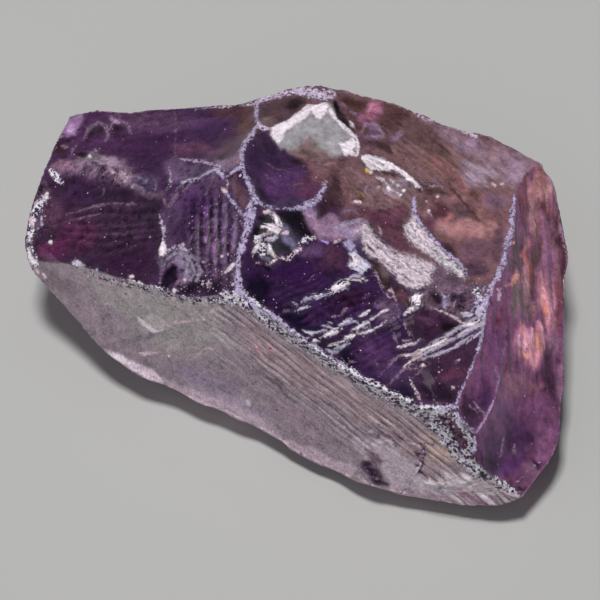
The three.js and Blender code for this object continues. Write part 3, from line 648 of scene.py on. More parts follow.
    # Painted pink and salmon highlights on the right side, standing for light reflected inside the stone
    ((226, 168, 206), 0.1, [(519, 336, 3), (519, 343, 5), (521, 348, 2)]),
    ((226, 164, 186), 0.1, [(525, 333, 3), (525, 342, 4), (526, 350, 2)]),
    ((230, 166, 190), 0.1, [(531, 330, 4), (532, 340, 6), (533, 350, 4), (534, 356, 2)]),
    ((222, 158, 176), 0.1, [(538, 322, 3), (541, 332, 4), (543, 342, 4), (544, 350, 2)]),
    ((196, 124, 112), 0.2, [(537, 332, 2), (537, 342, 4), (538, 350, 2)]),
    ((212, 148, 136), 0.2, [(522, 350, 1), (526, 357, 3), (527, 360, 1)]),
    ((208, 142, 156), 0.1, [(541, 272, 3), (542, 288, 5), (545, 304, 6), (548, 318, 4), (549, 326, 1)]),
    ((214, 132, 112), 0.2, [(543, 300, 2), (544, 310, 3), (546, 318, 1)]),
    ((194, 132, 162), 0.1, [(548, 296, 2), (550, 308, 4), (552, 321, 3)]),
    ((214, 146, 140), 0.2, [(517, 272), (519, 276), (516, 284), (511, 287), (509, 284), (512, 278)]),
    ((214, 140, 136), 0.0, [(505, 286, 2), (508, 285, 2)]),
    ((204, 140, 138), 0.1, [(534, 224, 2), (535, 228, 3)]),
    ((204, 146, 150), 0.0, [(513, 243, 3)]),
]

# Painted sheen: pale rippled patches that stand for light shining on the rippled shelf and blade. Colour,
# then the marks
PAINTED_SHEEN = [
    ((208, 193, 203), [(359, 224), (366, 222), (371, 228), (376, 234), (382, 240), (390, 246), (397, 251),
        (406, 254), (420, 258), (432, 262), (437, 268), (432, 275), (433, 281), (427, 286), (419, 290),
        (412, 291), (406, 288), (398, 281), (390, 273), (382, 265), (376, 260), (368, 257), (364, 250),
        (362, 240)]),
    ((214, 202, 212), [(413, 199), (411, 208), (412, 217), (405, 224), (404, 234), (411, 244), (421, 251),
        (430, 258), (438, 264), (446, 270), (456, 275), (466, 280), (467, 274), (460, 264), (452, 256),
        (442, 247), (433, 237), (425, 227), (418, 216), (415, 204)]),
    ((222, 218, 226), [(441, 259, 4), (446, 263, 8), (454, 268, 9), (461, 273, 8), (466, 278, 3)]),
]

# Thin translucent wisps: colour, then the marks
WISPS = [
    (MAUVE, [(66, 214, 2), (80, 211, 2), (95, 206, 3), (110, 203, 2), (124, 203, 2), (132, 204, 3),
        (138, 206, 2)], [(62, 224, 1), (78, 219, 2), (98, 214, 1), (118, 214, 1)]),
    ((92, 62, 94), [(100, 228, 1), (126, 226, 2), (150, 223, 1)],
        [(96, 236, 1), (120, 234, 2), (146, 232, 1)]),
    (MAUVE, [(131, 203, 3), (137, 205, 3)],
        [(84, 140, 1), (88, 129, 3), (98, 122, 4), (107, 127, 5), (108, 134, 5), (106, 141, 2)]),
    (PINK_LILAC, [(109, 130, 3), (114, 123, 4), (119, 119, 5)]),
    (MAUVE, [(119, 120, 3), (127, 124, 4), (131, 133, 2)]),
    (PINK_LILAC, [(71, 156, 2), (73, 149, 2), (76, 146, 1)], [(62, 146, 2), (66, 147, 2)]),
    (MAUVE, [(88, 162, 3), (96, 168, 3), (90, 176, 2)], [(100, 156, 3), (104, 163, 2)]),
    (PINK_LILAC, [(104, 174, 2), (109, 169, 3)], [(112, 160, 4), (118, 165, 4)],
        [(121, 172, 4), (123, 178, 3)]),
    (MAUVE, [(130, 182, 3), (140, 188, 4), (147, 192, 2), (156, 195, 2)],
        [(93, 184, 1), (96, 174, 2), (88, 178, 1)], [(103, 196, 1), (104, 188, 2), (100, 182, 1)],
        [(139, 176, 2), (145, 182, 2), (150, 178, 1)], [(154, 192, 1), (157, 184, 2), (152, 176, 1)],
        [(163, 198, 2), (167, 206, 3), (174, 202, 2), (180, 188, 1)],
        [(172, 200, 1), (178, 193, 2), (184, 187, 1)], [(183, 192, 1), (190, 184, 2)],
        [(205, 196, 1), (210, 186, 2), (214, 176, 2)], [(208, 180, 1), (214, 173, 2)],
        [(188, 246, 1), (193, 234, 2)]),
    (PALE_LILAC, [(163, 268, 2), (167, 259, 3), (175, 253, 4), (184, 254, 3), (191, 262, 3), (195, 273, 3),
        (190, 281, 1)], [(172, 262, 1), (180, 259, 3), (186, 266, 3), (187, 275, 2), (181, 284, 1)]),
    (MAUVE, [(178, 268, 1), (181, 274, 3), (177, 284, 3), (172, 291, 1)]),
    (PALE_LILAC, [(190, 252, 1), (197, 262, 3), (201, 272, 3), (196, 281, 2)]),
    (MAUVE, [(158, 262, 2), (162, 270, 3), (160, 282, 1)]),
    (PINK_LILAC, [(190, 240, 1), (194, 233, 2)]),
    (RIB_GREY, [(199, 216, 1), (198, 226, 3), (199, 238, 2), (197, 250, 3), (199, 260, 1)],
        [(208, 214, 1), (208, 224, 4), (209, 236, 2), (208, 250, 2), (206, 262, 1)],
        [(217, 210, 1), (216, 222, 3), (217, 234, 2), (218, 248, 4), (216, 262, 1)],
        [(226, 208, 1), (226, 218, 3), (225, 230, 2), (226, 242, 2), (222, 256, 3)],
        [(234, 216, 1), (236, 228, 2), (234, 240, 2), (232, 252, 1)]),
    (PINK_LILAC, [(240, 208, 2), (243, 214, 2)], [(242, 222, 2), (244, 226, 2)]),
    ((132, 96, 128), [(175, 112, 1), (176, 130, 1), (175, 150, 1), (176, 158, 3)]),
    (MAUVE, [(184, 172, 1), (188, 180, 2)]),
    ((148, 112, 124), [(317, 164, 2), (324, 165, 3), (334, 163, 3), (338, 157, 1)]),
    ((142, 106, 110), [(303, 166, 1), (316, 167, 1), (328, 166, 1)]),
    ((86, 57, 92), [(262, 160, 1), (274, 168, 2), (290, 172, 2), (304, 172, 1)]),
    ((92, 60, 98), [(262, 172, 1), (276, 182, 2), (292, 186, 2), (306, 182, 1)]),
    ((142, 106, 110), [(303, 171, 1), (316, 171, 1), (327, 171, 1)]),
    ((140, 104, 112), [(340, 172, 2), (347, 182, 2), (350, 190, 1)]),
    ((150, 118, 128), [(354, 179, 2), (361, 185, 4), (367, 195, 3), (372, 201, 1)]),
    ((160, 118, 140), [(351, 190, 1), (351, 200, 3), (351, 204, 2)]),
    ((150, 118, 128), [(350, 166, 1), (345, 170, 2)]),
    ((142, 110, 122), [(344, 162, 1), (352, 168, 3), (356, 178, 2), (352, 186, 1)],
        [(368, 180, 1), (376, 190, 3), (380, 200, 2), (388, 206, 1)]),
    ((150, 118, 130), [(356, 206, 1), (368, 204, 3), (382, 209, 2), (396, 206, 1)]),
    ((134, 98, 108), [(340, 178, 1), (344, 192, 3), (342, 204, 1)]),
    (PALE_LILAC, [(336, 228, 3), (346, 224, 5), (354, 222, 5), (362, 220, 5), (369, 224, 2)]),
    (PINK_LILAC, [(312, 226, 2), (322, 233, 5), (334, 236, 5), (344, 232, 3)],
        [(305, 213, 3), (311, 216, 7), (316, 222, 3)]),
    (MAUVE, [(342, 212, 3), (352, 209, 4), (358, 214, 2)]),
    (PINK_WHITE, [(378, 226, 1), (381, 232, 2), (381, 237, 1)], [(388, 246, 3), (394, 252, 4)],
        [(402, 253, 2), (410, 255, 3), (416, 256, 2)]),
    ((150, 112, 146), [(341, 103, 4), (347, 107, 3)], [(350, 111, 2), (356, 114, 4), (360, 118, 2)]),
    (PINK_LILAC, [(362, 131, 4), (365, 125, 3), (373, 123, 4), (379, 128, 3), (382, 136, 4), (376, 138, 4),
        (371, 136, 1)]),
    (MAUVE, [(392, 141, 4), (397, 137, 8), (401, 133, 5)]),
    ((196, 124, 152), [(368, 112, 4), (371, 105, 5), (378, 104, 4)]),
    (PINK_LILAC, [(468, 138, 2), (474, 141, 4), (471, 146, 2)]),
    ((158, 134, 152), [(446, 165, 1), (458, 172, 2), (470, 180, 2)],
        [(454, 158, 2), (466, 164, 2), (480, 174, 3), (492, 184, 2)],
        [(464, 150, 1), (480, 158, 2), (496, 170, 1)]),
    ((150, 112, 120), [(394, 150, 1), (404, 157, 2), (416, 166, 2), (428, 176, 1)],
        [(406, 140, 1), (416, 147, 1), (430, 158, 1)]),
    ((140, 116, 136), [(412, 166, 2), (419, 174, 3), (424, 184, 1)], [(434, 177, 2), (438, 181, 2)]),
    ((202, 134, 130), [(449, 200, 2), (455, 197, 3)]),
    ((202, 138, 122), [(478, 211, 3), (482, 210, 2)]),
    ((170, 124, 130), [(431, 205, 1), (438, 199, 1)]),
    (PINK_LILAC, [(394, 333, 1), (397, 341, 2), (398, 345, 1)],
        [(379, 377, 1), (387, 368, 2), (395, 359, 3), (400, 354, 2)],
        [(388, 386, 1), (395, 378, 2), (403, 370, 2), (412, 369, 2), (419, 368, 1)],
        [(395, 380, 1), (398, 376, 2)]),
    (MAUVE, [(412, 378, 1), (420, 371, 2), (430, 364, 1)], [(424, 402, 1), (432, 405, 2)],
        [(375, 360, 1), (378, 366, 2)], [(350, 362, 3), (356, 362, 2)],
        [(276, 315, 1), (283, 312, 2), (290, 310, 1)], [(363, 298, 2), (370, 293, 2)]),
    (PINK_LILAC, [(346, 309, 3), (340, 314, 2)], [(473, 402, 1), (479, 409, 2), (485, 415, 2)]),
    (MAUVE, [(469, 405, 1), (476, 412, 1), (480, 418, 1)], [(499, 378, 2), (497, 372, 1), (495, 368, 1)],
        [(502, 362, 1), (504, 350, 2)], [(504, 437, 2), (502, 446, 2), (500, 458, 1)],
        [(515, 444, 2), (514, 452, 3)]),
    ((176, 120, 122), [(524, 236, 1), (527, 246, 2), (530, 258, 2), (529, 268, 1)]),
    ((160, 118, 128), [(532, 196, 2), (532, 212, 3), (534, 232, 2)]),
    ((178, 132, 138), [(546, 188, 3), (550, 194, 2)]),
    (PALE_LILAC, [(352, 441, 1), (356, 446, 2), (360, 452, 1)]),
    ((132, 104, 128), [(365, 466, 1), (375, 468, 1)], [(367, 471, 1), (380, 474, 1)],
        [(371, 477, 1), (385, 480, 1)]),
    (PALE_LILAC, [(362, 434, 1), (372, 431, 2), (382, 432, 1)]),
    (PINK_WHITE, [(357, 476, 2), (364, 481, 3), (370, 486, 2)]),
    (PALE_LILAC, [(440, 496, 2), (450, 493, 3), (466, 491, 2)]),
]

# Soft paint on the broken top: its base's colour and cover, then the layers in the order they are laid
TOP_BASE = (72, 46, 80), 0.5
TOP_PAINT = [
    area(8, (110, 80, 90), [(262, 80), (560, 90), (560, 300), (480, 300), (404, 252), (340, 212),
        (322, 184), (300, 156), (262, 132)], 0.6),
    area(4, (74, 46, 80), [(55, 160), (62, 110), (256, 98), (259, 124), (246, 143), (241, 166), (222, 172),
        (178, 162), (165, 196), (140, 186), (120, 164)], 0.5),
    spot(200, 130, 46, 20, (70, 45, 80)),
    spot(150, 122, 44, 10, (92, 64, 94)),
    spot(150, 148, 30, 18, (66, 40, 74)),
    spot(250, 120, 17, 28, (88, 60, 64), 0.8),
    spot(230, 110, 22, 10, (78, 50, 60), 0.75),
    spot(232, 147, 18, 12, (76, 49, 70), 0.86),
    spot(195, 149, 24, 8, (98, 62, 90), 0.8),
    spot(228, 163, 13, 8, (124, 100, 124), 0.82),
    spot(224, 156, 7, 4, (60, 40, 56), 0.8),
    spot(97, 132, 11, 8, (52, 34, 52), 0.75),
    spot(118, 131, 8, 6, (48, 32, 50), 0.75),
    area(3, (140, 106, 146), [(80, 112), (70, 118), (63, 128), (61, 138), (68, 137), (78, 131), (84, 120)],
        0.85),
    spot(73, 129, 6, 4, (180, 146, 190), 0.9),
    spot(116, 121, 5, 3, (176, 140, 184), 0.9),
    spot(66, 140, 7, 4, (48, 34, 48), 0.7),
    spot(60, 152, 10, 8, (62, 38, 54), 0.7),
    area(4, (66, 43, 70), [(48, 184), (80, 178), (120, 180), (145, 192), (161, 198), (160, 240), (154, 276),
        (130, 283), (80, 266), (28, 260), (26, 230), (38, 196)], 0.42),
    spot(85, 197, 24, 10, (66, 42, 76), 0.7),
    spot(116, 196, 40, 7, (52, 34, 56), 0.75, -6),
    spot(76, 236, 24, 20, (78, 42, 72), 0.6),
    spot(52, 248, 14, 8, (92, 40, 80), 0.6),
    spot(130, 262, 34, 14, (60, 34, 64), 0.65),
    spot(148, 215, 12, 16, (60, 42, 64), 0.5),
    area(5, (122, 98, 120), [(54, 168, 8), (75, 171, 12), (92, 165, 18), (115, 167, 18), (130, 180, 12),
        (145, 191, 6), (160, 197, 4)], 0.8, 0.75),
    spot(62, 168, 12, 6, (132, 98, 122), 0.8),
    spot(96, 160, 10, 6, (122, 104, 118), 0.8),
    spot(114, 164, 10, 8, (150, 122, 146), 0.85),
    spot(122, 175, 6, 7, (150, 128, 140), 0.85),
    spot(107, 172, 5, 5, (62, 44, 62), 0.75),
    spot(96, 168, 4, 4, (66, 48, 64), 0.8),
    spot(119, 169, 4, 3, (70, 52, 68), 0.8),
    spot(130, 186, 4, 3, (66, 50, 68), 0.8),
    spot(86, 171, 5, 3, (74, 54, 74), 0.8),
    spot(145, 180, 12, 9, (74, 62, 90), 0.7),
    spot(83, 158, 7, 3, (28, 18, 30), 0.8),
    area(3, (92, 72, 92), [(42, 186, 10), (36, 204, 16), (32, 222, 14), (30, 244, 10)], 0.85, 0.8),
    spot(50, 212, 13, 20, (86, 57, 80), 0.75),
    spot(33, 234, 4, 5, (30, 24, 32), 0.8),
    spot(40, 188, 5, 4, (44, 32, 44), 0.8),
    area(3, (84, 60, 90), [(166, 200), (180, 188), (204, 178), (222, 174), (226, 192), (246, 214),
        (238, 250), (236, 284), (200, 292), (170, 284), (162, 250), (164, 226)], 0.68),
    spot(196, 205, 20, 20, (70, 44, 82)),
    spot(184, 232, 14, 16, (66, 42, 76)),
    spot(230, 220, 17, 32, (80, 58, 90), 0.75),
    spot(205, 285, 30, 9, (44, 30, 52), 0.75),
    spot(197, 170, 8, 6, (76, 60, 92), 0.78),
    spot(176, 170, 12, 12, (98, 74, 106), 0.75),
    area(2, (40, 26, 46),
        [(167, 270), (173, 266), (177, 272), (177, 283), (171, 288), (164, 286), (163, 278)], 0.6),
    spot(162, 264, 5, 8, (96, 84, 104), 0.8),
    area(3, (96, 84, 104),
        [(168, 254), (182, 249), (192, 256), (199, 268), (198, 278), (184, 283), (182, 270), (174, 262)],
        0.7, 0.85),
    spot(190, 290, 12, 6, (34, 24, 36), 0.8),
    area(2, (100, 70, 88),
        [(238, 171), (230, 184), (236, 197), (245, 207), (252, 203), (249, 194), (244, 184)], 0.6),
    area(2, (136, 106, 128), [(240, 150), (233, 156), (232, 163), (238, 165), (241, 160)], 0.8),
    area(2, (84, 61, 72), [(259, 106), (268, 101), (280, 97), (305, 98), (308, 103), (300, 112), (286, 120),
        (272, 126), (265, 124), (258, 114)], 0.8),
    spot(298, 103, 12, 8, (52, 38, 46), 0.85, -25),
    spot(268, 122, 8, 5, (108, 90, 90), 0.8),
    area(5, (64, 42, 74), [(262, 132), (270, 134), (280, 147), (300, 156), (306, 170), (322, 184),
        (320, 192), (310, 202), (290, 207), (268, 205), (257, 196), (247, 176), (246, 150)], 0.55),
    spot(285, 183, 26, 14, (86, 54, 98), 0.65),
    spot(262, 145, 12, 12, (62, 44, 70), 0.5),
    spot(262, 196, 12, 8, (40, 24, 50), 0.8),
    spot(290, 202, 22, 5, (72, 52, 84), 0.78),
    spot(306, 188, 15, 15, (86, 50, 76), 0.8),
    spot(296, 164, 10, 4, (58, 38, 52), 0.5),
    area(6, (108, 76, 84), [(294, 156), (345, 156), (340, 166), (328, 172), (322, 184), (310, 172)], 0.88),
    spot(318, 174, 10, 9, (112, 78, 86), 0.88),
    spot(334, 188, 9, 20, (70, 47, 58), 0.8),
    spot(345, 188, 5, 16, (108, 74, 78), 0.85, -10),
    # Painted reflection of the window on a flat facet: a grey patch with a brown notch in its lower edge
    area(2, (151, 147, 152), [(272, 132), (290, 124), (308, 110), (328, 106), (338, 118), (350, 130),
        (356, 140), (342, 150), (336, 155), (322, 154), (300, 156), (286, 152), (277, 144)], 0.92),
    area(3, (122, 98, 100), [(290, 155), (300, 148), (306, 140), (310, 134), (314, 142), (322, 148),
        (334, 153), (326, 157), (300, 158)], 0.85),
    spot(310, 152, 9, 5, (96, 74, 78), 0.85),
    spot(324, 113, 3, 3, (92, 92, 92), 0.9),
    area(2, (32, 22, 30),
        [(331, 101), (337, 103), (345, 113), (352, 121), (357, 134), (352, 133), (341, 121), (333, 111)],
        0.7),
    area(3, (92, 64, 70),
        [(334, 96), (370, 98), (412, 112), (392, 128), (372, 145), (360, 150), (358, 134), (350, 116)],
        0.6),
    spot(373, 108, 10, 9, (170, 108, 138), 0.88),
    spot(368, 117, 9, 5, (148, 88, 116), 0.85),
    spot(371, 131, 8, 7, (112, 88, 112), 0.75),
    spot(385, 146, 30, 7, (66, 48, 52), 0.65, 10),
    spot(352, 102, 14, 5, (76, 50, 56), 0.65),
    area(3, (112, 84, 90), [(366, 172), (392, 172), (412, 182), (420, 190), (412, 200), (402, 210),
        (360, 208), (348, 200), (346, 182), (350, 160), (362, 160)], 0.65),
    # A painted shadow along the underside of the bright streak
    area(2, (52, 36, 42), [(370, 173, 2), (384, 174, 4), (400, 177, 3), (416, 189, 3)], 0.75),
    spot(392, 188, 12, 7, (128, 106, 116), 0.8, 35),
    spot(402, 184, 8, 6, (128, 108, 122), 0.75),
    spot(360, 192, 6, 6, (70, 52, 44), 0.7),
    spot(366, 188, 8, 12, (128, 98, 112), 0.7, -30),
    area(3, (98, 62, 80), [(346, 206), (402, 206), (412, 216), (404, 224), (404, 236), (414, 250),
        (404, 252), (392, 246), (378, 232), (370, 222), (356, 220), (344, 214)], 0.6),
    spot(385, 222, 14, 9, (96, 56, 80), 0.6),
    spot(372, 230, 6, 6, (82, 62, 76), 0.7),
    area(2, (40, 28, 46), [(275, 211), (300, 210), (308, 214), (310, 222), (315, 230), (312, 235),
        (300, 236), (293, 231), (286, 221)], 0.6),
    area(2, (52, 44, 58), [(262, 212), (274, 212), (286, 220), (296, 230), (298, 243), (292, 256),
        (276, 258), (262, 263), (253, 256), (256, 232)], 0.75),
    area(3, (112, 102, 134), [(284, 226, 5), (290, 238, 8), (295, 250, 5)], 0.8),
    spot(283, 247, 8, 8, (48, 40, 54), 0.7),
    spot(262, 220, 5, 5, (14, 10, 16), 0.85),
    spot(256, 236, 4, 8, (16, 12, 18), 0.85),
    spot(264, 257, 8, 4, (104, 100, 118), 0.85),
    area(4, (140, 108, 136),
        [(304, 219), (320, 218), (344, 218), (364, 222), (364, 234), (350, 242), (330, 242), (316, 236)],
        0.85),
    spot(348, 232, 12, 8, (158, 138, 170), 0.85),
    spot(310, 212, 9, 8, (150, 126, 162), 0.85),
    spot(330, 206, 12, 8, (68, 45, 62), 0.8),
    spot(322, 210, 6, 9, (58, 38, 52), 0.65),
    spot(357, 243, 6, 4, (92, 74, 110), 0.7),
    spot(362, 254, 7, 4, (58, 46, 72), 0.7),
    area(3, (60, 36, 72), [(246, 256), (270, 266), (298, 254), (316, 240), (345, 244), (348, 268),
        (372, 268), (394, 300), (402, 320), (410, 338), (404, 368), (388, 388), (340, 362), (300, 336),
        (260, 305), (243, 286)], 0.5),
    spot(300, 274, 28, 12, (62, 34, 76), 0.5),
    spot(332, 258, 14, 14, (82, 50, 76), 0.7),
    spot(312, 249, 12, 9, (92, 66, 102), 0.8),
    spot(260, 290, 12, 18, (32, 18, 42), 0.75, -20),
    spot(318, 296, 26, 9, (60, 36, 76), 0.5, -20),
    spot(350, 296, 24, 10, (60, 34, 64), 0.4, -20),
    spot(300, 322, 30, 8, (30, 17, 42), 0.75, 35),
    spot(335, 347, 16, 9, (30, 16, 40), 0.75, 10),
    spot(375, 352, 20, 20, (76, 48, 86), 0.6),
    spot(388, 310, 10, 14, (104, 80, 110), 0.78),
    spot(390, 370, 16, 10, (76, 52, 90), 0.75),
    spot(352, 358, 14, 6, (36, 20, 48), 0.4),
    area(3, (62, 44, 52), [(368, 257), (380, 262), (392, 276), (404, 290), (413, 303), (405, 307),
        (396, 300), (386, 287), (377, 272)], 0.65),
    spot(402, 297, 4, 9, (86, 56, 68), 0.8),
    spot(386, 272, 4, 8, (100, 80, 86), 0.8, -35),
    area(3, (104, 82, 102), [(432, 262), (446, 271), (468, 281), (486, 286), (480, 298), (430, 296),
        (412, 292), (430, 284), (436, 274)], 0.7),
    area(3, (88, 66, 84),
        [(414, 292), (436, 290), (470, 296), (474, 314), (460, 318), (440, 310), (420, 308)], 0.6),
    spot(436, 300, 9, 7, (54, 38, 56), 0.6),
    spot(458, 302, 8, 7, (64, 44, 66), 0.6),
    spot(446, 304, 4, 6, (118, 104, 128), 0.75),
    area(2, (62, 38, 58),
        [(428, 412), (452, 412), (462, 426), (474, 440), (478, 452), (488, 474), (470, 462), (450, 440)],
        0.75),
    area(2, (64, 40, 66), [(404, 318), (412, 312), (425, 309), (440, 310), (452, 316), (463, 323),
        (456, 330), (440, 338), (424, 342), (410, 338), (405, 328)], 0.5),
    spot(452, 326, 14, 6, (40, 24, 40), 0.5, 10),
    spot(424, 320, 16, 4, (86, 54, 84), 0.5, 6),
    area(3, (74, 46, 74), [(406, 368), (430, 358), (460, 346), (480, 334), (476, 352), (464, 384),
        (455, 406), (426, 407), (410, 384)], 0.5),
    spot(428, 372, 14, 9, (62, 38, 64), 0.7),
    spot(410, 378, 10, 6, (68, 46, 76), 0.75, 20),
    spot(440, 396, 22, 9, (46, 28, 50), 0.8),
    spot(426, 390, 14, 5, (42, 26, 46), 0.8, 35),
    spot(452, 374, 16, 5, (98, 58, 84), 0.55, -20),
    spot(404, 390, 14, 9, (44, 30, 58), 0.7),
    area(3, (126, 90, 98), [(446, 196), (476, 180), (512, 196), (508, 240), (500, 270), (488, 286),
        (466, 276), (446, 248), (430, 230), (420, 212), (426, 200)], 0.65),
    # A painted pinkish sheen across the right bowl
    spot(470, 229, 32, 10, (172, 124, 128), 0.78, 4),
    spot(448, 216, 4, 8, (176, 112, 116), 0.75, 30),
    spot(460, 210, 14, 10, (92, 70, 80), 0.7, 10),
    spot(480, 250, 26, 10, (112, 80, 98), 0.65),
    spot(472, 266, 22, 9, (88, 62, 82), 0.6),
    spot(500, 240, 6, 22, (98, 70, 84), 0.65),
    area(2, (152, 108, 110), [(480, 212, 4), (489, 219, 7), (497, 228, 4)], 0.8),
    area(1.5, (66, 40, 46), [(456, 190, 2), (464, 199, 3), (472, 208, 3), (479, 217, 2)], 0.75),
    spot(438, 212, 9, 12, (84, 52, 66), 0.6, 25),
    spot(436, 192, 14, 4, (84, 58, 60), 0.6),
    spot(430, 226, 8, 8, (104, 64, 86), 0.6, 30),
    spot(448, 250, 14, 6, (70, 46, 60), 0.6, 42),
    area(3, (122, 90, 94), [(400, 130), (412, 112), (440, 124), (482, 138), (520, 152), (541, 160),
        (526, 176), (514, 198), (476, 182), (448, 192), (440, 184), (424, 184), (408, 168), (386, 152)],
        0.65),
    area(3, (98, 72, 78), [(396, 128), (412, 112), (440, 124), (442, 138), (456, 142), (454, 152),
        (446, 160), (420, 150), (402, 142)], 0.7),
    spot(455, 176, 30, 7, (124, 84, 88), 0.8, 35),
    spot(466, 184, 6, 5, (160, 108, 110), 0.75),
    spot(474, 188, 8, 9, (88, 58, 58), 0.7, 40),
    spot(480, 176, 14, 14, (156, 134, 152), 0.82, 35),
    spot(462, 146, 16, 8, (128, 102, 118), 0.75, 30),
    spot(472, 142, 6, 5, (172, 148, 176), 0.85),
    spot(490, 153, 7, 4, (168, 128, 128), 0.8, 30),
    spot(503, 167, 6, 5, (92, 68, 72), 0.75),
    spot(516, 172, 12, 14, (154, 128, 152), 0.82, 35),
    spot(510, 158, 18, 9, (142, 108, 128), 0.8, 25),
    spot(490, 139, 7, 3, (98, 66, 72), 0.75, 35),
    spot(496, 200, 12, 9, (118, 90, 110), 0.7, 35),
    area(7, (154, 126, 146), [(420, 117), (452, 128), (484, 139), (520, 153), (544, 166), (526, 186),
        (500, 182), (476, 160), (450, 142)], 0.8, 0.55),
]

# Soft paint on the right side
RIGHT_BASE = (104, 65, 96), 0.76
RIGHT_PAINT = [
    spot(549, 250, 14, 60, (124, 84, 96), 0.72),
    spot(540, 186, 16, 24, (156, 108, 114), 0.75),
    spot(549, 190, 8, 8, (172, 126, 128), 0.8),
    spot(523, 200, 5, 30, (104, 62, 76), 0.78),
    spot(555, 221, 7, 10, (66, 34, 46), 0.78),
    spot(546, 209, 5, 6, (98, 58, 72), 0.78),
    spot(562, 255, 4, 30, (76, 42, 58), 0.78),
    spot(533, 215, 6, 24, (142, 104, 110), 0.78),
    spot(518, 254, 6, 26, (84, 64, 76), 0.78),
    spot(527, 256, 3, 18, (160, 102, 102), 0.75),
    spot(536, 262, 4, 34, (84, 60, 68), 0.78),
    spot(548, 252, 7, 34, (134, 90, 122), 0.78),
    spot(525, 282, 7, 12, (150, 112, 122), 0.75),
    spot(531, 274, 4, 12, (140, 80, 84), 0.78),
    spot(520, 306, 13, 20, (100, 82, 88), 0.78),
    spot(534, 308, 7, 14, (132, 92, 106), 0.78),
    # A painted salmon streak of light reflected inside the stone
    spot(548, 306, 7, 26, (184, 126, 146), 0.8),
    spot(558, 300, 5, 34, (112, 64, 80), 0.78),
    spot(499, 318, 9, 16, (92, 50, 76), 0.78),
    spot(496, 345, 12, 20, (96, 58, 96), 0.78),
    # A painted pink highlight under the flame-like glints
    spot(532, 345, 17, 14, (190, 128, 142), 0.75),
    spot(552, 345, 7, 12, (116, 80, 106), 0.78),
    spot(552, 380, 6, 28, (66, 42, 62), 0.78, -12),
    spot(562, 378, 4, 22, (126, 88, 114), 0.78),
    spot(488, 380, 12, 18, (102, 62, 100), 0.78),
    spot(484, 404, 14, 18, (76, 47, 84), 0.72),
    spot(515, 380, 14, 14, (118, 80, 102), 0.78),
    spot(534, 388, 10, 8, (120, 78, 98), 0.78),
    spot(530, 408, 22, 12, (112, 70, 106), 0.78),
    area(2, (62, 40, 64),
        [(458, 404), (464, 398), (476, 400), (488, 408), (484, 420), (476, 432), (468, 426)], 0.85),
    spot(505, 410, 12, 14, (88, 56, 92), 0.78),
    spot(518, 438, 19, 22, (68, 42, 74), 0.85),
    spot(496, 448, 17, 28, (66, 40, 74), 0.82, -20),
    spot(490, 465, 10, 12, (48, 30, 54), 0.82, -40),
    spot(512, 466, 20, 9, (80, 48, 90), 0.78, -25),
    area(3, (124, 80, 116), [(536, 426), (555, 421), (560, 430), (552, 456), (536, 462), (534, 444)], 0.78),
    spot(557, 418, 5, 16, (96, 62, 88), 0.78),
    spot(532, 476, 12, 10, (112, 76, 102), 0.75, -40),
    spot(537, 465, 5, 4, (52, 34, 58), 0.78),
    spot(518, 489, 8, 3, (48, 34, 50), 0.75),
]

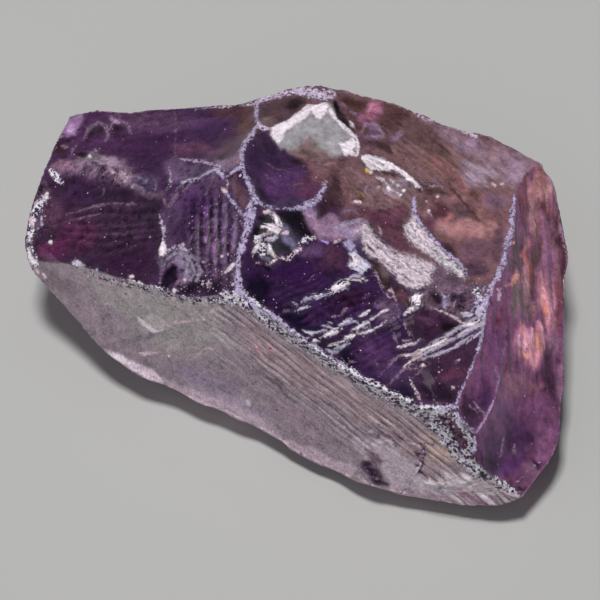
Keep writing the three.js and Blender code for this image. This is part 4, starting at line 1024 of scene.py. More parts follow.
# Soft paint on the tall front
FRONT_BASE = (122, 108, 118), 0.88
FRONT_PAINT = [
    area(12, (132, 124, 127),
        [(90, 275), (170, 295), (222, 300), (222, 340), (205, 362), (150, 345), (105, 310)], 0.9),
    area(9, (128, 112, 123),
        [(34, 268), (70, 275), (100, 300), (125, 335), (110, 350), (84, 328), (60, 300)], 0.85),
    spot(60, 283, 24, 10, (108, 95, 103), 0.88, 38),
    spot(112, 325, 20, 12, (122, 108, 119), 0.85, 38),
    spot(205, 380, 34, 10, (120, 104, 124), 0.85, 14),
    spot(235, 405, 40, 9, (134, 118, 136), 0.88, 24),
    spot(150, 336, 16, 4, (100, 92, 104), 0.88, -30),
    area(1.6, (150, 142, 146), [(143, 321), (150, 315), (160, 319), (167, 325), (160, 330), (150, 328)],
        0.92),
    spot(245, 330, 12, 20, (142, 122, 136), 0.9, -40),
    area(8, (130, 112, 120), [(250, 318), (300, 352), (360, 392), (420, 420), (440, 450), (470, 482),
        (430, 482), (380, 430), (320, 400), (270, 372), (235, 340)], 0.9),
    spot(300, 420, 40, 10, (126, 108, 122), 0.88, 35),
    spot(388, 426, 18, 8, (152, 134, 142), 0.88, 35),
    area(3, (150, 136, 147), [(357, 441), (370, 434), (384, 436), (394, 446), (405, 456), (418, 464),
        (430, 488), (404, 492), (386, 486), (372, 470), (362, 456)], 0.88),
    area(4, (58, 40, 60),
        [(363, 461), (367, 461), (370, 467), (378, 473), (385, 482), (382, 485), (372, 480), (365, 474)],
        0.85),
    area(3, (44, 28, 50), [(364, 461, 3), (367, 469, 7), (373, 477, 9), (381, 483, 4)], 0.88),
    spot(376, 463, 7, 3, (128, 96, 126), 0.8),
    area(2, (84, 72, 80), [(262, 368, 2), (275, 378, 4), (285, 388, 4), (292, 401, 2)], 0.88),
    spot(444, 455, 20, 12, (144, 124, 122), 0.9, 45),
    area(1, (86, 68, 78), [(366, 434, 1), (381, 435, 2), (386, 438, 1)], 0.88),
    area(1, (80, 62, 72), [(389, 440, 1), (394, 445, 3), (398, 451, 1)], 0.88),
    area(1, (56, 38, 50), [(418, 468, 3), (424, 457, 5), (428, 446, 3), (431, 438, 2)], 0.9),
    area(4, (176, 164, 172),
        [(424, 482), (460, 480), (500, 484), (520, 496), (500, 497), (450, 492), (426, 490)], 0.95),
    area(2, (106, 76, 98), [(454, 502), (465, 497), (480, 495), (494, 500), (500, 506), (480, 508)], 0.8),
    spot(430, 494, 18, 4, (146, 126, 140), 0.88, 12),
    spot(463, 493, 3, 2, (112, 84, 96), 0.85),
    # Painted light along the lower edge: a pale band and, at its left end, a bright glowing facet
    area(3, (166, 146, 160), [(168, 385, 5), (200, 399, 8), (235, 413, 8), (262, 425, 8), (290, 443, 9),
        (330, 463, 8), (352, 473, 8)], 0.92, 0.8),
    area(2, (186, 168, 182), [(105, 351), (115, 350), (126, 357), (135, 362), (148, 370), (160, 379),
        (168, 387), (157, 387), (144, 381), (132, 374), (119, 369), (109, 360)], 0.95),
    spot(119, 359, 10, 4, (216, 200, 210), 0.95, 32),
    area(1, (212, 192, 206), [(110, 357, 2), (125, 367, 3), (140, 377, 3), (152, 381, 4), (168, 387, 2)],
        0.95),
]

# Where small bright specks lie: how thick from 0 to 1, then the outline of the place
SPECKS = [
    (0.03, [(60, 115), (250, 103), (240, 160), (160, 195), (60, 165)]),
    (0.06, [(45, 185), (160, 200), (155, 280), (80, 266), (30, 258)]),
    (0.4, [(56, 164), (96, 152), (126, 162), (152, 190), (134, 190), (112, 178), (72, 174)]),
    (0.55, [(226, 196), (246, 216), (236, 262), (216, 262), (212, 204)]),
    (0.35, [(190, 205), (216, 205), (216, 284), (196, 284)]),
    (0.4, [(28, 190), (56, 186), (50, 222), (30, 250)]),
    (0.14, [(246, 270), (300, 270), (300, 320), (262, 308)]),
    (0.09, [(250, 256), (345, 244), (400, 300), (404, 372), (340, 362)]),
    (0.8, [(120, 276), (190, 294), (226, 294), (220, 310), (150, 296)]),
    (0.5, [(75, 262), (130, 276), (152, 290), (130, 294), (90, 278)]),
    (1.0, [(168, 280), (184, 274), (228, 268), (236, 292), (206, 298), (172, 292)]),
    (0.3, [(430, 268), (490, 260), (484, 296), (430, 292)]),
    (0.12, [(406, 345), (478, 340), (456, 402), (420, 400)]),
    (0.6, [(420, 410), (458, 408), (484, 468), (450, 450)]),
    (0.1, [(40, 262), (240, 296), (420, 412), (440, 470), (240, 400), (100, 330)]),
    (0.5, [(376, 174), (406, 182), (406, 200), (384, 194)]),
]


# Ripples of the top. A place is a soft ellipse: across, down, half its size across and down, and its lean
# in degrees. Waves are the lean of their crests in degrees, their pitch and wander in pixels, and their
# seed.
RIPPLED = [  # height in mm, place, waves
    (0.045, (216, 236, 34, 46), (91, 9.5, 4, 11)),
    (0.014, (330, 318, 70, 50, 25), (-25, 7.0, 6, 13)),
    (0.012, (110, 225, 60, 30, -5), (-8, 9.0, 8, 19)),
    (0.02, (450, 150, 90, 32, 22), (38, 9.0, 5, 16)),
]
# Ripples where the painted sheen lies
SHEEN_RIPPLES = (0.035, (38, 5.5, 5, 14))  # height in mm, waves
SIDE_RIPPLES = (0.045, (86, 10.0, 6, 15))
STRIAE_RIPPLES = (38, 5.6, 5, 17)  # waves
RIBS = (216, 236, 32, 46)
RIB_WAVES = (91, 9.3, 3, 11)
BANDED = [  # how strongly the waves change the tone, place, waves
    (0.25, (330, 318, 70, 50, 25), (-27, 7.0, 6, 13)),
    (0.2, (110, 225, 60, 34, -5), (-8, 9.0, 8, 19)),
    (0.22, (385, 192, 40, 24, 35), (35, 6.5, 8, 23)),
]

# Where the veil is grainier than round about, where it is smooth, and where pale threads lie in it: how
# much, then the place
GRAINY = [
    (0.7, (105, 172, 56, 18, 12)), (0.8, RIBS), (1.5, (36, 215, 14, 44)), (0.5, (448, 302, 30, 18)),
]
SMOOTH = [(0.85, (312, 132, 40, 24)), (0.6, (470, 225, 50, 50)), (0.5, (460, 150, 90, 30, 22))]
THREADED = [
    (0.5, (105, 172, 56, 16, 12)), (1.0, (182, 266, 22, 24)), (0.5, RIBS), (0.25, (376, 194, 40, 22, 35)),
    (0.7, (448, 302, 34, 18)), (0.35, (100, 132, 36, 16)), (0.35, (110, 225, 60, 34)),
    (0.4, (345, 320, 60, 40, 25)), (0.5, (190, 185, 30, 20, -30)), (0.8, (450, 432, 40, 26, 45)),
]
FEW_THREADS = 0.08
FEW_SPECKS = 0.02


def painted(skin, base, paint):
    """The colour and the cover of layers of paint laid over a base in order, each by its own share."""
    shade, hides = base
    colour = np.tile(linear(*shade), (len(skin.points), 1))
    cover = np.full(len(skin.points), hides)
    for share_of, shade, hides in paint:
        share = share_of(skin)
        colour += (linear(*shade) - colour) * share[:, None]
        if hides is not None:
            cover += (hides - cover) * share
    return colour, cover


def lean_of(mark):
    """The unit direction in which a mark is longest, across and down: the main axis of its points."""
    points = np.array(mark, float)[:, :2]
    if len(points) == 1:
        return 1.0, 0.0
    spread = points - points.mean(axis=0)
    return np.linalg.eigh(spread.T @ spread)[1][:, 1]


def in_light(shown, lit):
    """The surface colours that show some colours in some light, made darker alike where one is too pale."""
    return shown / np.maximum(lit, shown.max(axis=1) / PALEST)[:, None]


def edge_distance(points, triangles, sources):
    """The way in mm along the mesh's edges to the nearest source, handed on from neighbour to neighbour."""
    edges, _ = sides_of(triangles, len(points))
    length = np.linalg.norm(points[edges[:, 0]] - points[edges[:, 1]], axis=1)
    away = np.full(len(points), RIDGE_REACH)
    away[sources] = 0
    for _ in range(RIDGE_STEPS):
        np.minimum.at(away, edges[:, 0], away[edges[:, 1]] + length)
        np.minimum.at(away, edges[:, 1], away[edges[:, 0]] + length)
    return away


class Skin:
    """The skin's points, where the picture shows them, and which of the stone's faces they lie on."""

    def __init__(self, points, triangles, ridge, eye):
        self.points = points
        self.normals = point_normals(points, triangles)
        self.across, self.down = in_picture(points, eye)
        self.picture = np.stack([self.across, self.down, np.zeros(len(points))], axis=1)
        self.seen = rise(self.normals @ TOWARDS_EYE, *SEEN_FACING)
        self.hidden = self.normals @ TOWARDS_EYE < HIDDEN_FACING
        front_ridge = np.array(FRONT_RIDGE, float)
        self.below_ridge = self.down - np.interp(self.across, front_ridge[:, 0], front_ridge[:, 1])
        right_edge = np.array(RIGHT_SIDE_EDGE, float)
        past_right = self.across - np.interp(self.down, right_edge[:, 1], right_edge[:, 0])
        self.front = rise(self.below_ridge, -1.0, 1.0)
        self.right = rise(past_right, -1.5, 1.5) * (1 - self.front)
        self.top = (1 - self.front) * (1 - self.right)
        self.upper_right = self.right * rise(self.down, 420, 340)
        self.streaks = self.streak_amounts()
        self.brushed = self.picture[:, :2] + self.brushing()
        self.from_ridge = edge_distance(points, triangles, ridge.reshape(-1)) * PIXELS_PER_MM
        # Gaps to the painted sheen, the crushed grains and the painted highlights
        self.sheens = self.least_gap([mark for _, *marks in PAINTED_SHEEN for mark in marks])
        self.crushed = self.least_gap(GRAINS)
        self.glints = self.least_gap([mark for _, _, *marks in PAINTED_GLINTS for mark in marks])
        # Marks laid in turn: the painted sheen, the wisps, the crushed lines and the painted highlights
        laid = [(colour, SHEEN_STREAKED, SHEEN_FINISH, marks) for colour, *marks in PAINTED_SHEEN]
        laid += [(colour, WISP_STREAKED, WISP_FINISH, marks) for colour, *marks in WISPS]
        laid += [(colour, 0.0, LINE_FINISH, marks) for colour, *marks in LINES]
        laid += [(colour, streaked, GLINT_FINISH, marks) for colour, streaked, *marks in PAINTED_GLINTS]
        self.lay_marks([(*kind, mark) for *kind, marks in laid for mark in marks])

    def gap(self, mark):
        """The gap from every point to one mark."""
        return mark_gap(self.across, self.down, mark)

    def share(self, across, down, *ellipse):
        """The share of a soft ellipse at the points themselves."""
        return ellipse_share(self.across - across, self.down - down, *ellipse)

    def most(self, places):
        """The greatest of the shares of some places, each times its own amount."""
        return np.max([amount * self.share(*place) for amount, place in places], axis=0)

    def streak_amounts(self):
        """How streaky the skin is in each of the streak directions, from 0 to 1, as columns."""
        striae = rise(self.below_ridge, 3, 10) * rise(self.below_ridge, 95, 45)
        striae *= rise(self.across, 190, 235)
        striae *= 1 - 0.8 * self.share(400, 466, 30, 18, 35)
        along = self.front * (0.15 + 0.85 * striae) + self.top * 0.6 * self.share(440, 160, 100, 44, 22)
        upright = 0.22 * self.right + 0.5 * self.upper_right
        upright += self.top * 0.25 * self.share(216, 236, 34, 46)
        level = self.top * (0.45 * self.share(325, 315, 80, 55, 25) + 0.3 * self.share(110, 228, 80, 45))
        return np.stack([along, upright, level], axis=1) * self.seen[:, None]

    def brushing(self):
        """How far the paint is carried from where it is laid, in pixels: cloudy noise, and along each
        direction of streaks noise that is drawn out along it."""
        carried = np.zeros((len(self.points), 2))
        for size, reach, seed in ((15, 4.5, 91), (5, 1.6, 95)):
            for column in range(2):
                carried[:, column] += reach * lattice_noise(self.picture, size, seed + column)
        for number, lean in enumerate(STREAK_LEANS):
            lean = np.array(lean[:2])
            along = self.picture[:, :2] @ lean
            athwart = self.picture[:, :2] @ np.array([-lean[1], lean[0]])
            place = np.stack([along / 40, athwart / 4, np.zeros(len(along))], axis=1)
            reach = 16 * self.streaks[:, number] * layered_noise(place, 1.0, 101 + number, 2)
            carried += reach[:, None] * lean
        return carried

    def least_gap(self, marks):
        """The gap to the nearest of some marks. Hidden points have none near."""
        gap = np.full(len(self.points), FAR)
        for mark in marks:
            gap = np.minimum(gap, self.gap(mark))
        gap[self.seen < 0.5] = FAR
        return gap

    def lay_marks(self, marks):
        """Lays marks one over another: each takes the points that it covers and those it is nearest to.

        A point keeps the gap to its mark, less what the mark spreads past its outline, and the mark's
        colour, lean, streaks and finish. On the hidden sides broken lines run along the ridges."""
        gap = np.full(len(self.points), FAR)
        values = np.zeros((len(gap), 10))
        for colour, streaked, finish, mark in marks:
            *look, spread = finish
            here = self.gap(mark) - spread
            takes = (here < OVERLAP) | (here < gap)
            gap[takes] = here[takes]
            values[takes] = [*linear(*colour), *lean_of(mark), streaked, *look]
        width = 0.8 + 3.4 * layered_noise(self.points, 2.4, 61, 2) - self.near_floor()
        gap[self.hidden] = (self.from_ridge - width)[self.hidden]
        values[self.hidden] = [*linear(*HIDDEN_LINE), 1, 0, 0, *LINE_FINISH[:4]]
        self.mark_gap = gap
        self.mark_colour = in_light(values[:, :3], white_shows(self.normals))
        self.mark_lean = values[:, 3:5]
        self.mark_streaks = values[:, 5]
        self.mark_finish = values[:, 6:9]
        self.mark_softness = values[:, 9]

    def near_floor(self):
        """How many pixels narrower the hidden sides' marks are near the floor, where the clear stone would
        show them from above."""
        return 30 * rise(self.points[:, 2], 1.4, 0.4)

    def grain_gap(self):
        """The gap to the crushed grains: the picture's, and on the hidden sides patches along ridges."""
        width = 14.0 * layered_noise(self.points, 3.6, 67, 2) - 3.0 - self.near_floor()
        return np.where(self.hidden, self.from_ridge - width, self.crushed)

    def grain_tone(self):
        """How much of their colour the crushed grains keep: less in strong light and in the dark crushed
        shelf."""
        shelf = self.share(464, 446, 38, 18, 45)
        return np.minimum(GRAIN_SHOWS / white_shows(self.normals), 1) * (1 - 0.35 * shelf)

    def veil(self):
        """The veil's colour, and how far it hides the clear stone, from 0 to 1.

        The paint says what shows. What the clear stone shows through the veil is taken off, and the rest is
        divided by the veil's share and by the light that falls there."""
        faces = (
            (self.top, TOP_BASE, TOP_PAINT),
            (self.right, RIGHT_BASE, RIGHT_PAINT),
            (self.front, FRONT_BASE, FRONT_PAINT),
        )
        shown = np.zeros((len(self.points), 3))
        cover = np.zeros(len(self.points))
        for share, base, paint in faces:
            colour, hides = painted(self, base, paint)
            shown += share[:, None] * colour
            cover += share * hides
        shown *= self.ribbing()[:, None]
        hidden, hidden_cover = self.hidden_veil()
        shown = hidden + (shown - hidden) * self.seen[:, None]
        cover = hidden_cover + (cover - hidden_cover) * self.seen
        through = (1 - cover)[:, None] * np.array(CLEAR_SHOWS)
        own = np.maximum(shown - through, DARKEST) / cover[:, None]
        return in_light(own, white_shows(self.normals)), cover

    def hidden_veil(self):
        """The colour and cover of the hidden sides: clouds between deep and pale, paler and greyer where
        they look forwards, with ripples and rays that spread from the shell source."""
        cloud = rise(layered_noise(self.points, 5.0, 71, 3), -0.5, 0.7)
        forwards = rise(-self.normals[:, 1], 0.1, 0.7)
        pale = linear(*HIDDEN_PALE) + (linear(*FRONT_BASE[0]) - linear(*HIDDEN_PALE)) * forwards[:, None]
        share = cloud + (0.75 - cloud) * 0.7 * forwards
        colour = linear(*HIDDEN_DEEP) + (pale - linear(*HIDDEN_DEEP)) * share[:, None]
        rays = layered_noise(unit(self.points - SHELL_SOURCE) * 30, 1.0, 121, 3)
        tone = np.exp(0.16 * self.shells() + 0.35 * rays)
        return colour * tone[:, None], 0.34 + 0.5 * share

    def shells(self):
        """Ripples between -1 and 1 on the hidden sides, like the growth lines of a shell: the sine of the
        distance to the shell source, let wander by noise."""
        distance = np.linalg.norm(self.points - SHELL_SOURCE, axis=1)
        return np.sin(SHELL_TURN * distance + SHELL_WANDER * layered_noise(self.points, 4.0, 81, 2))

    def waves(self, turn, pitch, wander, seed):
        """Parallel ripples between -1 and 1 at a pitch in pixels, whose crests lean by an angle in degrees
        from straight across and wander by some pixels."""
        turn = math.radians(turn)
        offset = math.cos(turn) * self.down - math.sin(turn) * self.across
        offset = offset + wander * layered_noise(self.picture, pitch * 6, seed, 2)
        return np.sin(2 * math.pi * offset / pitch)

    def ribbing(self):
        """How much brighter or darker ribs and ripples make what shows: e to the power of the sum of their
        waves."""
        beads = lattice_noise(self.picture * (0.34, 0.26, 1), 1.0, 111)
        tone = self.share(*RIBS) * (0.75 * self.waves(*RIB_WAVES) + 0.8 * beads - 0.22)
        for strength, place, waves in BANDED:
            tone += strength * self.share(*place) * self.waves(*waves)
        return np.exp(tone * self.top)

    def grit(self):
        """How grainy the veil is, face by face, with more in the haze, on the ribs and at the left end."""
        grainy = 0.8 * self.top + 0.75 * self.front + 0.35 * self.right + 0.3 * self.upper_right
        grainy += sum(amount * self.share(*place) for amount, place in GRAINY)
        return grainy * (1 - self.most(SMOOTH))

    def web(self):
        """How thickly pale threads lie in the veil."""
        return np.maximum(FEW_THREADS, self.most(THREADED) * self.top)

    def ripples(self):
        """The height in mm of the ribs and ripples, each set kept to its own place."""
        height = ROUGHNESS_HEIGHT * layered_noise(self.points, 2.2, 3, 3)
        for tall, place, waves in RIPPLED:
            height += tall * self.share(*place) * self.top * self.waves(*waves)
        # Ripples where the painted sheen lies
        tall, waves = SHEEN_RIPPLES
        height += tall * rise(self.sheens, 3, -3) * self.top * self.waves(*waves)
        tall, waves = SIDE_RIPPLES
        height += tall * self.upper_right * self.waves(*waves)
        height += STRIAE_HEIGHT * self.front * self.streaks[:, 0] * self.waves(*STRIAE_RIPPLES)
        hidden = (1 - self.seen) * rise(self.points[:, 2], 0.3, 1.5)
        return height + SHELL_HEIGHT * hidden * self.shells()

    def relief(self):
        """How far each point is raised along its normal, in mm: the ripples, and what grains, lines and the
        marks of the painted highlights add, each with rough noise of its own. Near the floor it fades to
        nothing."""
        height = self.ripples()
        crushed = rise(self.grain_gap(), 3, -2)
        height += GRAIN_HEIGHT * crushed * layered_noise(self.points, 0.32, 5, 2)
        line = rise(self.mark_gap, 2, -1) * self.mark_finish[:, 1]
        height += line * (LINE_HEIGHTS[0] + LINE_HEIGHTS[1] * layered_noise(self.points, 0.3, 6, 2))
        # Raised where the painted highlights lie
        glint = rise(self.glints, 2.5, -1.5) * (1 - self.front)
        height += glint * (GLINT_HEIGHTS[0] + GLINT_HEIGHTS[1] * layered_noise(self.points, 0.35, 7, 2))
        return height * rise(self.points[:, 2], 0.02, 0.5)

    def speckled(self):
        """How thick small bright specks lie, from 0 to 1."""
        thick = np.full(len(self.points), FEW_SPECKS)
        for share, outline in SPECKS:
            thick = np.maximum(thick, share * rise(self.gap(outline), 6, -6) * self.seen)
        return thick


def write_field(mesh, name, values):
    """Puts on each of a mesh's points one value, or three such as a place or a colour in linear light."""
    kind, key = ("FLOAT", "value") if values.ndim == 1 else ("FLOAT_VECTOR", "vector")
    mesh.attributes.new(name, kind, "POINT").data.foreach_set(key, values.reshape(-1))


def write_fields(mesh, skin):
    """Puts on the mesh what its material reads."""
    veil, cover = skin.veil()
    fields = {
        "picture": skin.picture,
        "wash": veil,
        "veil": cover,
        "satin": 0.3 + 0.2 * skin.front,
        "streaks": skin.streaks,
        "mottling": 1 - 0.45 * skin.front,
        "grit": skin.grit(),
        "web": skin.web(),
        "grain_gap": skin.grain_gap(),
        "grain_tone": skin.grain_tone(),
        "mark_gap": skin.mark_gap,
        "mark_colour": skin.mark_colour,
        "mark_lean": np.column_stack([skin.mark_lean, np.zeros(len(cover))]),
        "mark_streaks": skin.mark_streaks,
        "mark_softness": skin.mark_softness,
        "mark_finish": skin.mark_finish,
        "specks": skin.speckled(),
    }
    for name, values in fields.items():
        write_field(mesh, name, values)


def write_mesh(name, points, triangles):
    """A smooth-shaded mesh object in metres from points in mm."""
    mesh = bpy.data.meshes.new(name)
    mesh.vertices.add(len(points))
    mesh.loops.add(len(triangles) * 3)
    mesh.polygons.add(len(triangles))
    mesh.vertices.foreach_set("co", (points * MILLIMETRE).reshape(-1))
    mesh.loops.foreach_set("vertex_index", triangles.reshape(-1))
    mesh.polygons.foreach_set("loop_start", np.arange(len(triangles)) * 3)
    mesh.polygons.foreach_set("use_smooth", np.ones(len(triangles), bool))
    mesh.update(calc_edges=True)
    made = bpy.data.objects.new(name, mesh)
    bpy.context.scene.collection.objects.link(made)
    return made


class Graph:
    """Short calls for the nodes of one material: each makes a node, sets or links its inputs, and gives its
    output."""

    def __init__(self, material):
        material.use_nodes = True
        self.tree = material.node_tree

    def link(self, output, node_input):
        self.tree.links.new(output, node_input)

    def put(self, kind, inputs, output=0, **settings):
        """One node. Inputs are {name or number: value or output of another node}."""
        made = self.tree.nodes.new(kind)
        for name, value in settings.items():
            setattr(made, name, value)
        for name, value in inputs.items():
            if isinstance(value, bpy.types.NodeSocket):
                self.link(value, made.inputs[name])
            else:
                made.inputs[name].default_value = value
        return made.outputs[output]

    def math(self, operation, *values):
        return self.put("ShaderNodeMath", dict(enumerate(values)), operation=operation)

    def vector(self, operation, a, b, output=0):
        return self.put("ShaderNodeVectorMath", {0: a, 1: b}, output=output, operation=operation)

    def scaled(self, colour, factor):
        """A colour made brighter or darker by a factor."""
        return self.put("ShaderNodeVectorMath", {0: colour, "Scale": factor}, operation="SCALE")

    def fade(self, value, low, high, at_low=0.0, at_high=1.0):
        """A smooth step of the value from one end of a range to the other."""
        ends = {"Value": value, "From Min": low, "From Max": high, "To Min": at_low, "To Max": at_high}
        return self.put("ShaderNodeMapRange", ends, interpolation_type="SMOOTHSTEP")

    def mix(self, share, a, b):
        """A blend of two colours."""
        return self.put("ShaderNodeMix", {0: share, 6: a, 7: b}, 2, data_type="RGBA", clamp_factor=True)

    def blend(self, share, a, b):
        """A blend of two values."""
        return self.put("ShaderNodeMix", {0: share, 2: a, 3: b}, 0, data_type="FLOAT", clamp_factor=True)

    def noise(self, place, size, detail=2.0, roughness=0.55):
        """Cloudy noise about 0.5 whose features have a size in the place's own units."""
        inputs = {"Vector": place, "Scale": 1 / size, "Detail": detail, "Roughness": roughness}
        return self.put("ShaderNodeTexNoise", inputs)

    def about(self, noise, reach):
        """Noise about 0.5 turned into noise about 0, times its reach."""
        return self.math("MULTIPLY", self.math("SUBTRACT", noise, 0.5), reach)

    def strands(self, picture, lean, length, width, detail=2.0):
        """Noise drawn out along a lean: its place is (along / length, athwart / width)."""
        turned = self.vector("CROSS_PRODUCT", (0, 0, 1), lean)
        along = self.math("DIVIDE", self.vector("DOT_PRODUCT", picture, lean, 1), length)
        athwart = self.math("DIVIDE", self.vector("DOT_PRODUCT", picture, turned, 1), width)
        place = self.put("ShaderNodeCombineXYZ", {0: along, 1: athwart})
        return self.noise(place, 1.0, detail, 0.6)

    def wander(self, picture, place, size, reach):
        """The picture's places, carried off by soft noise of a size as far as half a reach each way."""
        inputs = {"Vector": place, "Scale": 1 / size, "Detail": 1.0}
        noise = self.put("ShaderNodeTexNoise", inputs, output="Color")
        carried = self.scaled(self.vector("SUBTRACT", noise, (0.5, 0.5, 0.5)), reach)
        return self.vector("ADD", picture, carried)

    def waves(self, picture, lean, pitch):
        """Waves between -1 and 1 whose crests run along a lean, at a pitch."""
        turned = self.vector("CROSS_PRODUCT", (0, 0, 1), lean)
        athwart = self.vector("DOT_PRODUCT", picture, turned, 1)
        return self.math("SINE", self.math("MULTIPLY", athwart, 2 * math.pi / pitch))

    def cells(self, place, size):
        """Random cells: the distance from the middle of each, and its three random values."""
        inputs = {"Vector": place, "Scale": 1 / size}
        distance = self.put("ShaderNodeTexVoronoi", inputs)
        values = self.put("ShaderNodeSeparateColor", {0: distance.node.outputs["Color"]})
        return distance, *values.node.outputs[:3]

    def field(self, name, output=2):
        """What the mesh carries at each point: a place or a colour (output 1) or a value (2)."""
        return self.put("ShaderNodeAttribute", {}, output=output, attribute_name=name)


class Veil:
    """The veil's colour, and the mask of what is laid on it."""

    def __init__(self, graph, colour):
        self.graph = graph
        self.colour = colour
        self.laid = 0.0

    def lay(self, mask, colour):
        """Lays a colour where its mask is."""
        self.colour = self.graph.mix(mask, self.colour, colour)
        self.laid = self.graph.math("MAXIMUM", self.laid, mask)


def ground(graph, place, picture):
    """The veil before any marks: the wash, mottled at three sizes, streaked in the face's directions, with
    pale threads round dark pits where the mesh says that a web lies in it."""
    tone = graph.about(graph.noise(place, 14, 3.0), 1.6)
    tone = graph.math("ADD", tone, graph.about(graph.noise(place, 5, 2.0), 0.8))
    tone = graph.math("MULTIPLY", tone, graph.field("mottling"))
    fine = graph.about(graph.noise(place, 2.1, 1.0), 1.6)
    tone = graph.math("MULTIPLY_ADD", fine, graph.field("grit"), tone)
    amounts = graph.put("ShaderNodeSeparateXYZ", {0: graph.field("streaks", 1)}).node.outputs
    for amount, lean, width in zip(amounts, STREAK_LEANS, STREAK_WIDTHS):
        streaks = graph.about(graph.strands(picture, lean, STREAK_LENGTH, width), 2.0)
        tone = graph.math("MULTIPLY_ADD", streaks, amount, tone)
    striae = graph.math("MULTIPLY", graph.waves(picture, STREAK_LEANS[0], STRIAE_PITCH), 0.2)
    finer = graph.math("MULTIPLY", graph.waves(picture, STREAK_LEANS[0], STRIAE_PITCH / 2), 0.14)
    striae = graph.math("ADD", striae, finer)
    tone = graph.math("MULTIPLY_ADD", striae, graph.math("MULTIPLY", amounts[0], amounts[0]), tone)
    from_middle = graph.cells(graph.wander(place, place, 5, 9), 8.0)[0]
    threads = graph.fade(from_middle, 0.3, 0.75, -0.5, 1.5)
    tone = graph.math("MULTIPLY_ADD", threads, graph.field("web"), tone)
    tone = graph.math("MAXIMUM", graph.math("ADD", tone, 1.0), 0.2)
    return Veil(graph, graph.scaled(graph.field("wash", 1), tone))


def lay_marks(graph, veil, place, picture, ragged):
    """The marks, whose edges are ragged and have a faint glow round them.

    Streaks break a mark into strands along its lean. Its finish says how much strands and grains change its
    tone, how far it hides what is under it, and how soft its edge is."""
    strands = graph.math("SUBTRACT", graph.strands(picture, graph.field("mark_lean", 1), 22, 2.6), 0.5)
    finish = graph.put("ShaderNodeSeparateXYZ", {0: graph.field("mark_finish", 1)}).node.outputs
    _, value, hue, _ = graph.cells(place, 2.2)
    streaked = graph.field("mark_streaks")
    broken = graph.math("MULTIPLY", graph.math("MULTIPLY", strands, 24.0), streaked)
    raggedness = graph.math("MULTIPLY_ADD", finish[1], 0.9, 0.6)
    gap = graph.math("ADD", graph.math("MULTIPLY_ADD", ragged, raggedness, broken), graph.field("mark_gap"))
    edge = graph.fade(graph.math("DIVIDE", gap, graph.field("mark_softness")), 1.0, -1.0)
    granular = graph.math("MULTIPLY_ADD", finish[1], 5.0, -4.0)
    holes = graph.math("MULTIPLY", graph.fade(value, 0.25, 0.05), graph.math("MAXIMUM", granular, 0.0))
    edge = graph.math("MULTIPLY", edge, graph.math("MULTIPLY_ADD", holes, -0.8, 1.0))
    glow = graph.fade(gap, 7.0, 0.0, 0.0, 0.035)
    mask = graph.math("MULTIPLY", graph.math("MAXIMUM", edge, glow), finish[2])
    waves = graph.math("MULTIPLY", graph.waves(picture, graph.field("mark_lean", 1), 5.5), 0.3)
    sheen = graph.math("MULTIPLY", graph.math("MULTIPLY_ADD", strands, 6.0, waves), finish[0])
    sheen = graph.math("MULTIPLY", sheen, graph.math("MULTIPLY_ADD", streaked, 0.8, 0.2))
    grain = graph.math("MULTIPLY", graph.about(value, 1.1), finish[1])
    core = graph.fade(gap, 0.5, -3.0, 0.75, 1.15)
    tone = graph.math("MAXIMUM", graph.math("ADD", graph.math("ADD", sheen, grain), core), 0.1)
    pinker = graph.math("MULTIPLY", graph.math("MULTIPLY", hue, 0.5), finish[1])
    colour = graph.mix(pinker, graph.field("mark_colour", 1), MARK_PINK)
    veil.lay(mask, graph.scaled(colour, tone))


def lay_grains(graph, veil, place, ragged):
    """Crushed grains: pale rims round dark pits, each cell with a brightness of its own."""
    gap = graph.math("MULTIPLY_ADD", ragged, 2.6, graph.field("grain_gap"))
    pit, value, hue, _ = graph.cells(place, 2.8)
    value = graph.math("MULTIPLY_ADD", pit, 0.7, graph.math("MULTIPLY", value, 0.7))
    value = graph.math("ADD", value, graph.about(graph.noise(place, 1.7, 1.0), 1.2))
    value = graph.math("ADD", value, graph.about(graph.noise(place, 8.0, 1.0), 1.0))
    pale = graph.mix(hue, GRAIN_COOL, GRAIN_WARM)
    colour = graph.mix(graph.fade(value, 0.36, 0.58), GRAIN_PIT, GRAIN_DEEP)
    colour = graph.mix(graph.fade(value, 0.60, 0.84), colour, pale)
    veil.lay(graph.fade(gap, 1.4, -1.4), graph.scaled(colour, graph.field("grain_tone")))


def lay_specks(graph, veil, place, size, share):
    """Bright specks, each in the middle of a random cell of a size, where the mesh says that they lie."""
    distance, chance, radius, hue = graph.cells(place, size)
    there = graph.math("LESS_THAN", chance, graph.math("MULTIPLY", graph.field("specks"), share))
    edge = graph.math("MULTIPLY_ADD", radius, 0.22, 0.10)
    dot = graph.fade(graph.math("SUBTRACT", distance, edge), 0.1, -0.1)
    bright = graph.math("POWER", hue, 1.7)
    colour = graph.mix(bright, SPECK_DIM, SPECK_BRIGHT)
    veil.lay(graph.math("MULTIPLY", there, dot), colour)


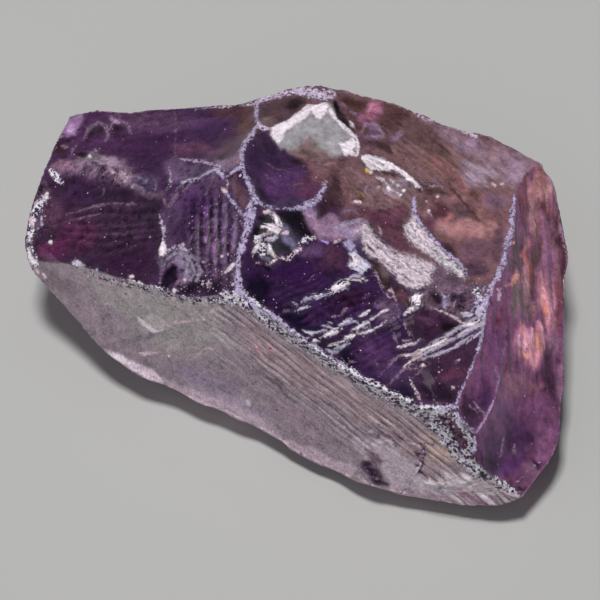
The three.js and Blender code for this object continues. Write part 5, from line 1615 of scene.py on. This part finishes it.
def violet_quartz():
    """Clear violet glass that takes up light inside, under a patchy veil of frost and crushed grains."""
    material = bpy.data.materials.new("violet_quartz")
    graph = Graph(material)
    glass = graph.tree.nodes["Principled BSDF"]
    output = graph.tree.nodes["Material Output"]
    object_place = graph.put("ShaderNodeTexCoord", {}, output=3)
    place = graph.scaled(object_place, PIXELS_PER_MM / MILLIMETRE)
    picture = graph.field("picture", 1)
    coarse = graph.about(graph.noise(place, 9, 2.0), 4.0)
    ragged = graph.math("ADD", coarse, graph.about(graph.noise(place, 2.4, 1.0), 3.0))

    veil = ground(graph, place, graph.wander(picture, place, 40, 5))
    lay_grains(graph, veil, place, ragged)
    lay_marks(graph, veil, place, graph.wander(picture, place, 10, 10), ragged)
    lay_specks(graph, veil, place, 3.0, 1.0)
    lay_specks(graph, veil, place, 6.0, 0.4)

    depth = graph.fade(graph.field("grain_gap"), 2, -2, 0.2, 1.0)
    height = graph.math("MULTIPLY", graph.noise(place, 2.4, 1.0), depth)
    bump = graph.put("ShaderNodeBump", {"Height": height, "Strength": 0.5, "Distance": 0.00006})
    frost_inputs = {
        "Base Color": veil.colour,
        "Roughness": graph.blend(veil.laid, graph.field("satin"), MARK_ROUGHNESS),
        "Specular IOR Level": FROST_GLOSS,
        "Normal": bump,
    }
    frost = graph.put("ShaderNodeBsdfPrincipled", frost_inputs)
    cover = graph.math("MAXIMUM", veil.laid, graph.field("veil"))
    glass.inputs["Base Color"].default_value = GLASS_TINT
    glass.inputs["Roughness"].default_value = GLASS_ROUGHNESS
    glass.inputs["Transmission Weight"].default_value = 1.0
    glass.inputs["IOR"].default_value = QUARTZ_IOR
    surface = graph.put("ShaderNodeMixShader", {0: cover, 1: glass.outputs[0], 2: frost})
    passing = graph.put("ShaderNodeBsdfTransparent", {"Color": SHADOW_TINT})
    shadow = graph.put("ShaderNodeLightPath", {}, output="Is Shadow Ray")
    stone = graph.put("ShaderNodeMixShader", {0: shadow, 1: surface, 2: passing})
    graph.link(stone, output.inputs["Surface"])
    inside_inputs = {"Color": ABSORBING_TINT, "Density": ABSORBING_DENSITY}
    inside = graph.put("ShaderNodeVolumeAbsorption", inside_inputs)
    graph.link(inside, output.inputs["Volume"])
    return material


def pale_floor():
    """A plain pale matt floor, a hair under the stone so that light reaches what shows through it."""
    corner = FLOOR_WIDTH / 2
    places = [(x, y, -FLOOR_CLEARANCE) for x, y in ((-1, -1), (1, -1), (1, 1), (-1, 1))]
    mesh = bpy.data.meshes.new("floor")
    mesh.from_pydata([(x * corner, y * corner, z) for x, y, z in places], [], [(0, 1, 2, 3)])
    floor = bpy.data.objects.new("floor", mesh)
    bpy.context.scene.collection.objects.link(floor)
    material = bpy.data.materials.new("pale_floor")
    material.use_nodes = True
    shader = material.node_tree.nodes["Principled BSDF"]
    shader.inputs["Base Color"].default_value = FLOOR_PALE
    shader.inputs["Roughness"].default_value = 0.7
    mesh.materials.append(material)


def camera(eye):
    """The picture's eye as a camera."""
    data = bpy.data.cameras.new("eye")
    data.sensor_width = SENSOR_WIDTH
    data.lens = SENSOR_WIDTH * VIEW_DISTANCE / PICTURE_WIDTH
    data.clip_start = 0.01
    data.clip_end = 10.0
    made = bpy.data.objects.new("eye", data)
    made.location = eye * MILLIMETRE
    made.rotation_euler = (math.pi / 2 - VIEW_ELEVATION, 0, 0)
    bpy.context.scene.collection.objects.link(made)
    bpy.context.scene.camera = made


def lamp_direction(azimuth, elevation):
    """The unit direction to a lamp: azimuth 0 is behind the stone, and 90 is on its right."""
    azimuth, elevation = math.radians(azimuth), math.radians(elevation)
    level = math.cos(elevation)
    return np.array([math.sin(azimuth) * level, math.cos(azimuth) * level, math.sin(elevation)])


def white_shows(normals):
    """How brightly a white face shows: the room's light, the floor's glow as far as it leans over, and for
    each lamp its radiance times its area over pi times its distance squared, times the cosine between the
    face's normal and the way to it."""
    total = ROOM_SHARE * ROOM_LIGHT + FLOOR_GLOW * (1 - normals[:, 2]) / 2
    for azimuth, elevation, distance, width, height, radiance in LAMPS.values():
        reach = radiance * width * height / (math.pi * distance**2)
        total += reach * np.clip(normals @ lamp_direction(azimuth, elevation), 0, 1)
    return total


def studio_light():
    """Soft rectangles of light that face the stone, in a dim room. Glossy faces show only the window."""
    for name, (azimuth, elevation, distance, width, height, radiance) in LAMPS.items():
        data = bpy.data.lights.new(name, "AREA")
        data.shape = "RECTANGLE"
        data.size = width
        data.size_y = height
        data.energy = radiance * width * height * math.pi
        lamp = bpy.data.objects.new(name, data)
        out = lamp_direction(azimuth, elevation)
        lamp.location = out * distance
        lamp.rotation_euler = Vector(out).to_track_quat("Z", "Y").to_euler()
        lamp.visible_glossy = name == "window_light"
        lamp.visible_transmission = False
        bpy.context.scene.collection.objects.link(lamp)
    world = bpy.data.worlds.new("room")
    bpy.context.scene.world = world
    world.use_nodes = True
    world.node_tree.nodes["Background"].inputs["Color"].default_value = (ROOM_LIGHT,) * 3 + (1,)


solid_points, solid_triangles = solid_skin(NODE)
eye = eye_place(solid_points)
camera(eye)
studio_light()
pale_floor()

points, triangles, ridge = fine_skin(solid_points, solid_triangles, eye)
skin = Skin(points, triangles, ridge, eye)
stone = write_mesh("amethyst_stone", points + skin.relief()[:, None] * skin.normals, triangles)
write_fields(stone.data, skin)
stone.data.materials.append(violet_quartz())
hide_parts(NODE)
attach(stone, "root")

bpy.context.scene.view_settings.view_transform = "Standard"
bpy.context.view_layer.update()
